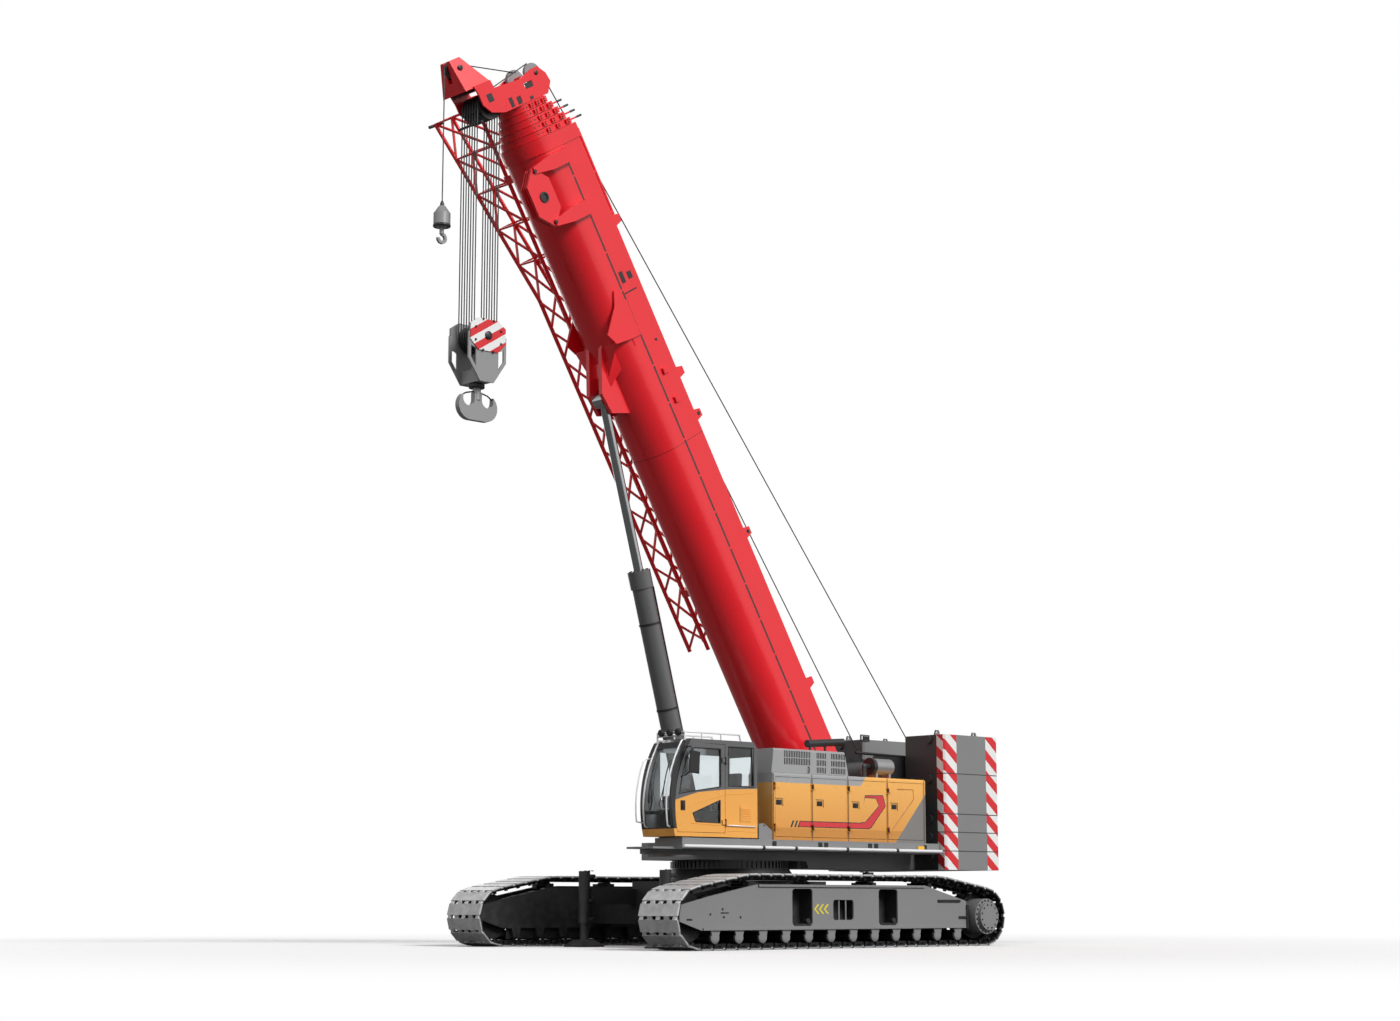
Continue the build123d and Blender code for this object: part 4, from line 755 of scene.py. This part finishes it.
def cab_paint():
    """Yellow under a belt (the least of three falling lines), grey above, black in front, pale inside."""
    material, tree, shader = new_material("cab_paint", coat=0.3)
    _, along, across, height = object_axes(tree)
    lines = [maths(tree, "MULTIPLY_ADD", along, slope, lift) for slope, lift in belt_lines]
    above = between(tree, maths(tree, "SUBTRACT", height, folded(tree, "MINIMUM", *lines)), -0.003, 0.003)
    paint = two_tone(tree, above, house_yellow, frame_tone)
    skin = between(tree, nearest(tree, across, [cab_middle]), 0.396, 0.400)
    skin = maths(tree, "MAXIMUM", skin, between(tree, height, cab_floor + 0.004, cab_floor))
    paint = two_tone(tree, skin, lining_grey, paint)
    ahead = maths(tree, "GREATER_THAN", normal_axes(tree)[0], 0.5)
    rise = maths(tree, "POWER", maths(tree, "SUBTRACT", height, bulge_z), 2.0)
    behind = maths(tree, "SUBTRACT", maths(tree, "MULTIPLY_ADD", rise, -bulge_curve, bulge_x), along)
    pillar = maths(tree, "MAXIMUM", between(tree, behind, 0.070, 0.066), ahead)
    pillar = maths(tree, "MULTIPLY", pillar, between(tree, height, cab_floor - 0.002, cab_floor + 0.004))
    paint = two_tone(tree, pillar, paint, trim_black)
    weathered(tree, shader, paint, dusty=0.08, rough=0.3)
    return material


cab_finish = cab_paint()
dress(cab_finish, "cab_shell", "cab_door")


def bowed(z, stand):
    """Place of the bowed windscreen at a height, standing off it: a parabola about its furthest point."""
    return bulge_x - bulge_curve * (np.asarray(z, float) - bulge_z) ** 2 + stand


def guard(y, low, high, stand, radius, foot=0.0):
    """Bar over the windscreen at one y, following its bow and bent in at both ends by foot."""
    z = np.linspace(low, high, 14)
    run = np.stack([bowed(z, stand), np.full(z.size, y), z], axis=1)
    if foot:
        run = np.concatenate([run[:1] - (foot, 0, 0.02), run, run[-1:] + (-foot, 0, 0.02)])
    return rod(run, radius, 8)


silver_bars = [guard(y, 2.12, 3.62, 0.05, 0.016, 0.06) for y in (0.80, 1.40)]
rail_front, rail_top, rail_sides = 2.46, 3.775, (0.72, 1.44)
silver_bars += [guard(rail_sides[0], 2.20, 3.30, 0.16, 0.014, 0.17)]
for y in rail_sides:
    hoop_line = [(rail_front, 3.63), (rail_front, rail_top), (1.12, rail_top), (1.08, 3.63)]
    silver_bars.append(rod([(x, y, z) for x, z in hoop_line], 0.018))
    silver_bars += [rod([(x, y, 3.64), (x, y, 3.77)], 0.014) for x in (1.58, 2.05)]
silver_bars += [rod([(rail_front, y, z) for y in rail_sides], 0.018) for z in (rail_top, 3.715)]
piece("cab_guards", joined(silver_bars), rail_silver, "upper", smooth=50)
wipers = [guard(y, 2.55, 3.25, 0.030, 0.010, 0.02) for y in (0.90, 1.28)]
wipers += [rod([(2.83, 0.92, 2.36), (2.845, 1.00, 2.50), (2.78, 0.90, 2.90)], 0.008),
           rod([(2.83, 1.26, 2.36), (2.845, 1.20, 2.50), (2.78, 1.28, 2.90)], 0.008)]
wipers += [brick((2.70, y - 0.05, 2.33), (2.845, y + 0.05, 2.38), 0.01) for y in (0.92, 1.26)]
piece("cab_wipers", joined(wipers), rubber_black, "upper", smooth=50)
lamp_profile = [(0.05, -0.05), (0.065, -0.03), (0.065, 0.02), (0.055, 0.03)]
lamps = [turned(lamp_profile, (2.50, y, rail_top), (1, 0, -0.15)) for y in (0.86, 1.08, 1.30)]
piece("cab_lamps", joined(lamps), rubber_black, "upper", smooth=40)
mirror_glass = [(2.29, 3.03), (2.53, 3.05), (2.50, 3.44), (2.27, 3.42)]
mirror = joined([slab(mirror_glass, 1.60, 1.65, 0.015),
                 rod([(2.46, 1.495, 3.50), (2.47, 1.60, 3.52), (2.42, 1.625, 3.42)], 0.014),
                 rod([(2.60, 1.495, 2.98), (2.58, 1.58, 3.00), (2.50, 1.625, 3.06)], 0.012)])
piece("cab_mirror", mirror, rubber_black, "cab_door", smooth=40)
grip_line = [(1.505, 2.42), (1.535, 2.44), (1.535, 2.52), (1.505, 2.54)]
grip = joined([brick((2.505, 1.496, 2.392), (2.614, 1.508, 2.563), 0.010),
               rod([(2.585, y, z) for y, z in grip_line], 0.011)])
piece("cab_door_grip", grip, rubber_black, "cab_door", smooth=40)
louvre = [brick((0.890, 1.496, 2.205), (1.177, 1.504, 2.508), 0.004)]
louvre += [slab([(0.905, z), (1.162, z), (1.162, z + 0.018), (0.905, z + 0.018)], 1.500, 1.512, 0.004)
           for z in np.arange(2.225, 2.480, 0.032)]
piece("cab_louvre", joined(louvre), cab_finish, "upper")
creases = {"cab_door": ([(2.433, 2.454), (2.199, 2.537), (1.560, 2.686)], [(2.355, 2.173), (1.659, 2.140)]),
           "upper": ([(1.515, 2.694), (0.862, 2.740)], [(1.515, 2.057), (0.784, 2.043)])}
for body, lines in creases.items():
    folds = [rod([(x, cab_side, z) for x, z in line], 0.007, 6) for line in lines]
    piece(f"{body}_creases", joined(folds), cab_finish, body, smooth=60)
side_grip = rod([(1.50, 1.495, 2.15), (1.49, 1.525, 2.15), (0.80, 1.525, 2.138), (0.79, 1.495, 2.138)],
                0.011)
piece("cab_side_grip", side_grip, rail_silver, "upper", smooth=50)


def gasket(corners, y, radius=0.010):
    """Rubber strip round a window: a bar along each side of its outline, the bars meeting at the corners."""
    loop = [(x, y, z) for x, z in corners]
    return joined([rod([a, b], radius, 8) for a, b in zip(loop, loop[1:] + loop[:1])])


rear_window = [(0.82, 2.85), (1.45, 2.85), (1.45, 3.55), (0.82, 3.55)]
piece("rear_gasket", gasket(rear_window, cab_side), rubber_black, "upper", smooth=50)
sill = [(1.64, 2.83), (2.66, 2.681)]
bow_z = np.linspace(2.72, 3.44, 8)
door_window = sill + [(x, z) for x, z in zip(bowed(bow_z, -0.163), bow_z)] + [(2.26, 3.50), (1.64, 3.50)]
low_window = [(2.320, 2.350), (1.655, 2.590), (1.655, 2.190), (2.250, 2.200)]
door_rubber = joined([gasket(door_window, cab_side), gasket(low_window, cab_side)])
piece("door_gaskets", door_rubber, rubber_black, "cab_door", smooth=50)
arm_rests = (0.80, 1.36)
lever = [(0.018, 0), (0.016, 0.12), (0.030, 0.14), (0.026, 0.20), (0.010, 0.215)]
controls = [brick((1.28, y - 0.07, 2.42), (1.70, y + 0.07, 2.52), 0.02) for y in arm_rests]
controls += [turned(lever, (1.62, y, 2.515), (0.1, 0, 1)) for y in arm_rests]
controls += [brick((2.30, 0.78, 2.02), (2.48, 1.20, 2.42), 0.03),
             brick((2.36, 0.80, 2.44), (2.42, 1.02, 2.66), 0.015)]
piece("cab_controls", joined(controls), rubber_black, "upper", smooth=40)


def window_glass():
    """Clear safety glass, faintly grey, smeared in places; shadow and diffuse rays pass straight through."""
    material, tree, shader = new_material("window_glass")
    place, *_ = object_axes(tree)
    smear = add(tree, "TexNoise", Vector=place, Scale=3.0, Detail=6.0).outputs[0]
    shader.inputs["Base Color"].default_value = (0.83, 0.87, 0.88, 1)
    shader.inputs["Transmission Weight"].default_value = 1.0
    shader.inputs["IOR"].default_value = 1.45
    feed(tree, shader.inputs["Roughness"], maths(tree, "MULTIPLY", between(tree, smear, 0.45, 0.9), 0.12))
    path = add(tree, "LightPath").outputs
    passing = maths(tree, "MAXIMUM", path["Is Shadow Ray"], path["Is Diffuse Ray"])
    clear = add(tree, "BsdfTransparent", (0.88, 0.90, 0.91, 1))
    show(tree, add(tree, "MixShader", passing, shader, clear))
    return material


glass = window_glass()
dress(glass, "cab_glass", "cab_door_glass")
seat_cloth = painted("seat_cloth", (0.02, 0.02, 0.022, 1), dusty=0.05, rough=0.85, grain=220.0, bump=0.5)
dress(seat_cloth, "cab_seat")

# Boom: six telescoping sections folded from high-strength plate, flat above, half round below, gloss red.
# Ears, wings and brackets are welded on the base; dark studs hold the collar at each section's end.
boom_red = (0.86, 0.012, 0.022, 1)
boom_pin = np.array((-1.85, 0.0, 2.52))
luff_rest = math.radians(58.7)


def boom_axes(tree):
    """Place along and above the boom, from its pin: object coordinates turned by the parked angle."""
    _, x, _, z = object_axes(tree)
    x = maths(tree, "SUBTRACT", x, boom_pin[0])
    z = maths(tree, "SUBTRACT", z, boom_pin[2])
    c, s = math.cos(luff_rest), math.sin(luff_rest)
    along = maths(tree, "ADD", maths(tree, "MULTIPLY", x, c), maths(tree, "MULTIPLY", z, s))
    return along, maths(tree, "SUBTRACT", maths(tree, "MULTIPLY", z, c), maths(tree, "MULTIPLY", x, s))


def boom_paint():
    """Gloss red with a dark seam along each side, broken at even steps, and fine weld lines round it."""
    material, tree, shader = new_material("boom_paint", coat=0.3, coat_rough=0.06)
    along, above = boom_axes(tree)
    step = maths(tree, "PINGPONG", maths(tree, "SUBTRACT", along, 1.60), 0.375)
    seam = maths(tree, "MULTIPLY", between(tree, nearest(tree, above, [0.52]), 0.024, 0.020),
                 between(tree, step, 0.016, 0.020))
    ring = maths(tree, "PINGPONG", maths(tree, "SUBTRACT", along, 0.55), 3.50)
    weld = maths(tree, "MULTIPLY", between(tree, ring, 0.010, 0.006), 0.6)
    line = maths(tree, "MULTIPLY", maths(tree, "MAXIMUM", seam, weld), between(tree, along, 13.40, 13.38))
    paint = two_tone(tree, line, boom_red, (0.040, 0.003, 0.004, 1))
    weathered(tree, shader, paint, dusty=0.04, clouds=0.08, rough=0.3)
    return material


dress(boom_paint(), "boom_base")
red_paint = painted("boom_red", boom_red, coat=0.3, dusty=0.05, clouds=0.08, rough=0.3)
dress(red_paint, "cylinder_bracket", "side_bracket", "fly_jib", "boom_head",
      *(f"boom_section_{i}" for i in range(2, 7)))
sheave_nylon = painted("sheave_nylon", (0.025, 0.025, 0.026, 1), dusty=0.1, rough=0.45)
dress(sheave_nylon, "block_sheaves")


def sheave_paint():
    """Black nylon, with the two rope guide sheaves above the boom's head in pale grey."""
    material, tree, shader = new_material("head_sheave_nylon")
    _, above = boom_axes(tree)
    tone = two_tone(tree, between(tree, above, 0.4, 0.41), (0.020, 0.020, 0.021, 1), (0.30, 0.30, 0.305, 1))
    weathered(tree, shader, tone, dusty=0.05, rough=0.4)
    return material


dress(sheave_paint(), "head_sheaves")


def on_boom(*shapes):
    """Shapes drawn along the boom (x along it, z above it, from its pin), joined and turned as parked."""
    points, faces = joined(shapes)
    c, s = math.cos(luff_rest), math.sin(luff_rest)
    x, y, z = points.T
    return np.stack([boom_pin[0] + c * x - s * z, y, boom_pin[2] + s * x + c * z], axis=1), faces


fittings = [rod([(11.90, 0.47, 1.12), (13.60, 0.47, 1.12)], 0.036, 12)]
fittings += [brick((x - 0.03, 0.43, 1.02), (x + 0.03, 0.51, 1.12), 0.01) for x in (11.95, 12.75, 13.5)]
for x in (2.20, 5.41, 7.87, 8.74, 11.80):
    ear = [(x - 0.12, 1.02), (x + 0.12, 1.02), (x + 0.07, 1.22), (x - 0.07, 1.22)]
    fittings += [slab(ear, y - 0.015, y + 0.015, 0.004) for y in (-0.50, 0.50)]
for x in (8.91, 8.33):
    fittings += [brick((x - 0.06, y - 0.025, 0.66), (x + 0.06, y + 0.025, 0.78), 0.008)
                 for y in (-0.57, 0.57)]
wing = [(10.68, 0.30), (10.40, 0.50), (9.72, 0.50), (9.73, 0.27), (9.79, -0.15), (10.01, -0.27),
        (10.41, 0.157)]
fittings += [slab(wing, 0.5645, 0.590, 0.004), slab(wing, -0.590, -0.5645, 0.004)]
fittings.append(lofted([[(x, -y, z), (x + 0.04, -y, z), (x + 0.04, y, z), (x, y, z)]
                        for x, y, z in ((9.10, 0.13, -0.39), (9.78, 0.57, -0.15))]))
piece("boom_welded_fittings", on_boom(*fittings), red_paint, "boom_base", smooth=40)
recesses = [brick((x0, 0.548, z0), (x1, 0.556, z1), 0.002) for x0, x1, z0, z1 in (
    (10.70, 10.92, 0.60, 0.70), (10.72, 10.86, 0.79, 0.90), (10.505, 10.53, 0.55, 0.88),
    (13.545, 13.570, 0.31, 0.54))]
recesses += [turned([(0.030, 0), (0.030, 0.006), (0.026, 0.008)], (9.50, 0.549, 0.83), (0, 1, 0))]
recesses += [turned([(0.040, -0.017), (0.040, 0.017)], (x, 0.50, 1.14), (0, 1, 0), 16) for x in (5.41, 7.87)]
piece("boom_recesses", on_boom(both_sides(*recesses)), black_iron, "boom_base", smooth=40)
bracket_x, bracket_z = 12.75, -0.43
corner = np.arange(6) * np.pi / 3
hexagon = np.stack([bracket_x + 0.54 * np.cos(corner), bracket_z + 0.32 * np.sin(corner)], axis=1)
leaves = [slab(hexagon, low, low + 0.02, 0.004) for low in (0.44, 0.50)]
piece("bracket_leaves", on_boom(*leaves), red_paint, "boom_base")
base_pins = [rod([(x, 0.42, -0.41), (x, 0.675, -0.41)], 0.034, 12) for x in (12.265, 13.235)]
bush_profile = [(0.10, 0), (0.10, 0.02), (0.066, 0.022), (0.066, 0.004)]
foot_cap_profile = [(0.12, -0.02), (0.12, 0.03), (0.09, 0.045)]
base_pins.append(turned(bush_profile, (bracket_x, 0.639, bracket_z), (0, 1, 0)))
base_pins += [turned(foot_cap_profile, (0.0, y, 0.0), (0, y, 0)) for y in (-0.62, 0.62)]
piece("boom_pins", on_boom(*base_pins), black_iron, "boom_base", smooth=40)
jib_tip = [rod([(14.61, -2.06, 0.03), (14.59, -2.06, 0.39)], 0.030),
           rod([(14.60, -2.10, 0.21), (14.60, -1.86, 0.21)], 0.024)]
piece("jib_tip_pin", on_boom(*jib_tip), black_iron, "boom_base", smooth=40)
caps = [rod([(x, -0.33, z), (x, 0.33, z)], 0.024) for x, z in ((14.95, -0.66), (14.40, -0.80))]
for side in (-1, 1):
    for x, z, radius, reach in ((15.40, -0.67, 0.050, 0.20), (14.80, 0.82, 0.040, 0.356)):
        profile = [(radius, -0.01), (radius, 0.016), (0.7 * radius, 0.022)]
        caps.append(turned(profile, (x, side * reach, z), (0, side, 0)))
head_openings = [brick((x0, 0.350, z0), (x1, 0.358, z1), 0.002) for x0, x1, z0, z1 in (
    (14.640, 14.790, -0.50, -0.36), (14.400, 14.580, -0.040, 0.040), (14.400, 14.530, 0.140, 0.240),
    (14.395, 14.455, 0.450, 0.540), (14.600, 14.700, 0.450, 0.640))]
caps.append(both_sides(*head_openings))
piece("head_pins", on_boom(*caps), black_iron, "boom_section_6", smooth=40)
collar_first, collar_step = 13.785, 0.13
tip_profile = [(0.0165, -0.13), (0.020, -0.12), (0.020, 0.005), (0.012, 0.008)]
shell_half, shell_top, shell_step, belly_z = 0.574, 1.03, 0.045, 0.35
for number in range(2, 7):
    middle = collar_first + collar_step * (number - 2)
    collar, top = shell_half - shell_step * (number - 1), shell_top - shell_step * (number - 1)
    rows = [(middle + step, z) for z in np.linspace(0.41, top - 0.08, 3) for step in (-0.02, 0.02)]
    studs = []
    for side in (-1, 1):
        heads = [(x, side * (collar + 0.036), z) for x, z in rows]
        studs.append(bolts(heads, (0, side, 0), 0.013, 0.014))
    for turn in np.linspace(-1.4, 1.4, 15):
        out = np.array((0, np.sin(turn), -np.cos(turn)))
        studs.append(turned([(0.012, 0), (0.012, 0.01)], (middle, 0, belly_z) + collar * out, out, 6))
    if number < 6:
        tip = (middle, collar - 0.07, 1.10 + 0.062 * (6 - number))
        studs.append(turned(tip_profile, tip, (0, 0, 1), 12))
    piece(f"collar_studs_{number}", on_boom(*studs), black_iron, f"boom_section_{number}", smooth=40)

# Luffing cylinder: a grey barrel with a turned gland, and a hard-chromed rod.
# Hoops, gland bolts and two oil pipes are fixed on the barrel.
cylinder_paint = painted("cylinder_grey", (0.115, 0.116, 0.118, 1), coat=0.3, dusty=0.1, rough=0.35)
dress(cylinder_paint, "luff_barrel")
rod_chrome = painted("rod_chrome", (0.42, 0.43, 0.44, 1), dusty=0.03, clouds=0.05, rough=0.12, metallic=1.0)
dress(rod_chrome, "luff_rod")


def hoop(centre, axis, inner, outer, half, sides=36):
    """Flat band round an axis: a rectangle (radius, distance along) carried once about it."""
    radius, along = np.array([(inner, -half), (outer, -half), (outer, half), (inner, half)]).T
    axis, side, up = square_to(axis)
    turn = np.arange(sides) * 2 * np.pi / sides
    circle = np.outer(np.cos(turn), side) + np.outer(np.sin(turn), up)
    rings = np.asarray(centre, float) + along[:, None, None] * axis + radius[:, None, None] * circle
    index = np.arange(4 * sides).reshape(4, sides)
    below, beside = np.roll(index, -1, axis=0), np.roll(index, -1, axis=1)
    quads = np.stack([index, beside, np.roll(below, -1, axis=1), below], axis=-1).reshape(-1, 4)
    return outward((rings.reshape(-1, 3), quads.tolist()))


cylinder_foot = np.array((0.932, 0.0, 2.049))
cylinder_way = np.array((2.239, 0.0, 7.834)) / 8.1477
gland_end = cylinder_foot + 4.95 * cylinder_way
gland = [bolts(on_circle(gland_end, cylinder_way, 0.165, 12), cylinder_way, 0.016, 0.016)]
gland += [hoop(cylinder_foot + cylinder_way * d, cylinder_way, 0.186, 0.199, 0.02)
          for d in (0.75, 2.35, 3.95)]
side_way = np.array((-cylinder_way[2], 0.0, cylinder_way[0]))
pipe = [cylinder_foot + cylinder_way * d + side_way * out
        for d, out in ((0.45, 0.17), (0.50, 0.215), (4.60, 0.232), (4.66, 0.19))]
gland += [rod([p + (0, y, 0) for p in pipe], 0.017) for y in (-0.05, 0.05)]
piece("cylinder_fittings", joined(gland), black_iron, "luff_barrel", smooth=40)

# Hoist ropes, hook block and hooks: parted wire ropes over sheaves, a barred block and forged grey hooks.
# Each fall is one straight rope that stretches between the head and its block.
# A hoist line leaves its drum for a fixed perch, then runs to the head in straight lengths.
rope_radius, lead_radius = 0.011, 0.0112
lead_length, perch_z, mark_step = 0.4, 3.62, 0.08
stages = ["boom_base"] + [f"boom_section_{i}" for i in range(2, 7)]
for name in ("main_hoist_line", "aux_hoist_line"):
    low, high = (np.array(corner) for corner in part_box(name))
    foot, head = (np.array((x, (low[1] + high[1]) / 2, z)) for x, _, z in (low, high))
    way = (head - foot) / np.linalg.norm(head - foot)
    start_of_line = rod([foot, foot + lead_length * way], lead_radius, 8)
    lead = piece(f"{name}_lead", start_of_line, rope_wire, name, smooth=60)
    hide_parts(name)
    perch = foot + way * (perch_z - foot[2]) / way[2]
    marks = [head - mark_step * (5 - i) * way for i in range(6)]
    spans = [("upper", "boom_base", [foot, perch, marks[0]])]
    spans += [(stages[i], stages[i + 1], marks[i:i + 2]) for i in range(5)]
    for i, (near, far, line) in enumerate(spans):
        rope = piece(f"{name}_run_{i}", rod(line, rope_radius, 8), rope_wire, None, smooth=60)
        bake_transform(rope)
head_x, head_z, block_z = 6.092, 14.755, 10.565
fall_reach = 0.2473
fall_y = (np.arange(7) - 3) * 0.074
falls = [rod([(head_x + side * fall_reach, y, z) for z in (head_z, block_z)], rope_radius, 8)
         for y in fall_y for side in (-1, 1)]
main_ropes = piece("main_fall_ropes", joined(falls), rope_wire, None, smooth=60)
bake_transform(main_ropes)
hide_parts("main_falls")
aux_x, aux_top, aux_low = 6.9134, 15.331, 12.80
single_fall = rod([(aux_x, 0, aux_top), (aux_x, 0, aux_low - 0.02)], rope_radius, 8)
aux_rope = piece("aux_fall_rope", single_fall, rope_wire, None, smooth=60)
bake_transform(aux_rope)
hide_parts("aux_line")


def half_turns(z, start):
    """Ropes laid half round the sheaves at a height, one at each fall's y, from a start angle in degrees."""
    turn = np.radians(start) + np.linspace(0, np.pi, 37)
    x, up = head_x + fall_reach * np.cos(turn), z + fall_reach * np.sin(turn)
    rings = [np.stack([x, np.full(turn.size, y), up], axis=1) for y in fall_y]
    return joined([rod(ring, 0.95 * rope_radius, 8) for ring in rings])


piece("head_rope_turns", half_turns(head_z, 0), rope_wire, "main_falls", smooth=60)
piece("block_rope_turns", half_turns(block_z, 180), rope_wire, "hook_block", smooth=60)
nose_lines = [rod([(14.88, -0.25, 1.015), (15.46, 0.0, -0.49)], rope_radius, 8),
              rod([(15.01, 0.25, 0.79), (14.825, 0.222, -0.39)], rope_radius, 8)]
piece("head_lines", on_boom(*nose_lines), rope_wire, "boom_section_6", smooth=60)


def block_paint():
    """Red and white bars on the block's flat sides above the hook, grey elsewhere."""
    material, tree, shader = new_material("block_paint")
    _, along, across, height = object_axes(tree)
    face = maths(tree, "GREATER_THAN", maths(tree, "ABSOLUTE", across), 0.292)
    round_cover = maths(tree, "MULTIPLY", face, between(tree, height, 10.20, 10.204))
    paint = two_tone(tree, round_cover, (0.30, 0.30, 0.303, 1), barred(tree, along, height, 0.63, 0.30))
    weathered(tree, shader, paint, dusty=0.08, rough=0.38)
    return material


dress(block_paint(), "hook_block")
hook_grey = painted("hook_grey", (0.30, 0.30, 0.302, 1), dusty=0.08, rough=0.4, grain=30.0, bump=0.08,
                    metallic=0.3)
dress(hook_grey, "main_hook", "aux_ball", "aux_hook")
block_studs = []
for side in (-1, 1):
    axis, face = (0, side, 0), (head_x, side * 0.31, block_z)
    block_studs += [bolts(on_circle(face, axis, 0.30, 8), axis, 0.022, 0.018),
                    turned([(0.075, -0.01), (0.075, 0.02), (0.06, 0.03)], face, axis)]
piece("block_studs", joined(block_studs), black_iron, "hook_block", smooth=40)
nut = turned([(0.135, 0), (0.14, 0.01), (0.14, 0.06), (0.12, 0.075)], (head_x, 0, 9.665), (0, 0, 1), 32)
piece("hook_nut", nut, black_iron, "main_hook", smooth=40)
latch_line = ((0.075, 9.60), (0.24, 9.56), (0.36, 9.485))
hook_latches = [rod([(head_x + side * out, 0, z) for out, z in latch_line], 0.014, 8) for side in (-1, 1)]
piece("hook_latches", joined(hook_latches), black_iron, "main_hook", smooth=50)
band_profile = [(0.1505, 0), (0.156, 0.008), (0.156, 0.032), (0.1505, 0.04)]
ball_bands = [turned(band_profile, (aux_x, 0, 12.425), (0, 0, 1), 32),
              turned([(0.040, 0), (0.036, 0.06), (0.016, 0.11)], (aux_x, 0, 12.79), (0, 0, 1))]
piece("ball_bands", joined(ball_bands), black_iron, "aux_ball", smooth=40)

# Studio: a pale floor fading to white, a soft key from the crane's left, two weak fills, white surroundings.
# Floor and sky throw little light back, so that undersides stay dark as in the photo.
floor_half, ambient = 400.0, 0.30


def floor_finish():
    """Matt white near the crane, plain white far out to hide the horizon; it throws little light back."""
    material, tree, shader = new_material("studio_floor")
    shader.inputs["Base Color"].default_value = (0.90, 0.90, 0.90, 1)
    shader.inputs["Roughness"].default_value = 0.9
    shader.inputs["Specular IOR Level"].default_value = 0.0
    place, *_ = object_axes(tree)
    far = between(tree, add(tree, "VectorMath", place, operation="LENGTH").outputs["Value"], 9.0, 22.0)
    path = add(tree, "LightPath").outputs
    seen = maths(tree, "MAXIMUM", path["Is Camera Ray"], path["Is Transmission Ray"])
    white = add(tree, "Emission", (1, 1, 1, 1), 1.0)
    mix = add(tree, "MixShader", maths(tree, "MULTIPLY", far, seen), shader, white)
    dull = add(tree, "BsdfDiffuse", (0.15, 0.15, 0.15, 1))
    bounced = maths(tree, "MAXIMUM", path["Is Diffuse Ray"], path["Is Glossy Ray"])
    show(tree, add(tree, "MixShader", bounced, mix, dull))
    return material


floor_points = np.array([(-1, -1, 0), (1, -1, 0), (1, 1, 0), (-1, 1, 0)]) * floor_half
floor = piece("floor", (floor_points, [[0, 1, 2, 3]]), floor_finish(), None)

world = bpy.data.worlds.new("studio")
world.use_nodes = True
bpy.context.scene.world = world
sky = world.node_tree
path = add(sky, "LightPath").outputs
seen = maths(sky, "MAXIMUM", path["Is Camera Ray"], path["Is Transmission Ray"])
backdrop = next(n for n in sky.nodes if n.type == "BACKGROUND")
backdrop.inputs["Color"].default_value = (1, 1, 1, 1)
forward, leftward, _ = add(sky, "SeparateXYZ", add(sky, "TexCoord").outputs["Generated"]).outputs
soft_box = maths(sky, "MAXIMUM", between(sky, leftward, 0.0, 0.6), between(sky, forward, 0.3, 0.8))
shown = maths(sky, "MAXIMUM", seen, maths(sky, "MULTIPLY", soft_box, path["Is Glossy Ray"]))
feed(sky, backdrop.inputs["Strength"], maths(sky, "MULTIPLY_ADD", shown, 1.0 - ambient, ambient))


def sun(name, towards, strength, spread):
    """Distant soft lamp shining along a direction, its disc as wide as spread in degrees."""
    lamp = bpy.data.lights.new(name, "SUN")
    lamp.energy = strength
    lamp.angle = math.radians(spread)
    made = bpy.data.objects.new(name, lamp)
    made.rotation_euler = Vector(towards).to_track_quat("-Z", "Y").to_euler()
    bpy.context.scene.collection.objects.link(made)


sun("key", (0.10, -0.80, -0.60), 2.6, 20.0)
sun("front", (-0.55, -0.10, -0.83), 0.6, 40.0)
sun("rim", (0.30, 0.90, -0.30), 0.6, 40.0)

# Camera: low in front of the crane's left corner, looking a little up.
# Its place, heading and lens are fitted to the photo's perspective.
camera_place = (30.733, 32.154, 0.789)
camera_heading = math.radians(227.0)
camera_lift = math.radians(9.4516)
camera_lens = 60.59
level = math.cos(camera_lift)
look = Vector((math.cos(camera_heading) * level, math.sin(camera_heading) * level, math.sin(camera_lift)))
camera = bpy.data.objects.new("camera", bpy.data.cameras.new("camera"))
camera.data.lens = camera_lens
camera.data.sensor_width = 36.0
camera.location = camera_place
camera.rotation_euler = look.to_track_quat("-Z", "Y").to_euler()
bpy.context.scene.collection.objects.link(camera)
bpy.context.scene.camera = camera
bpy.context.scene.view_settings.view_transform = "Standard"
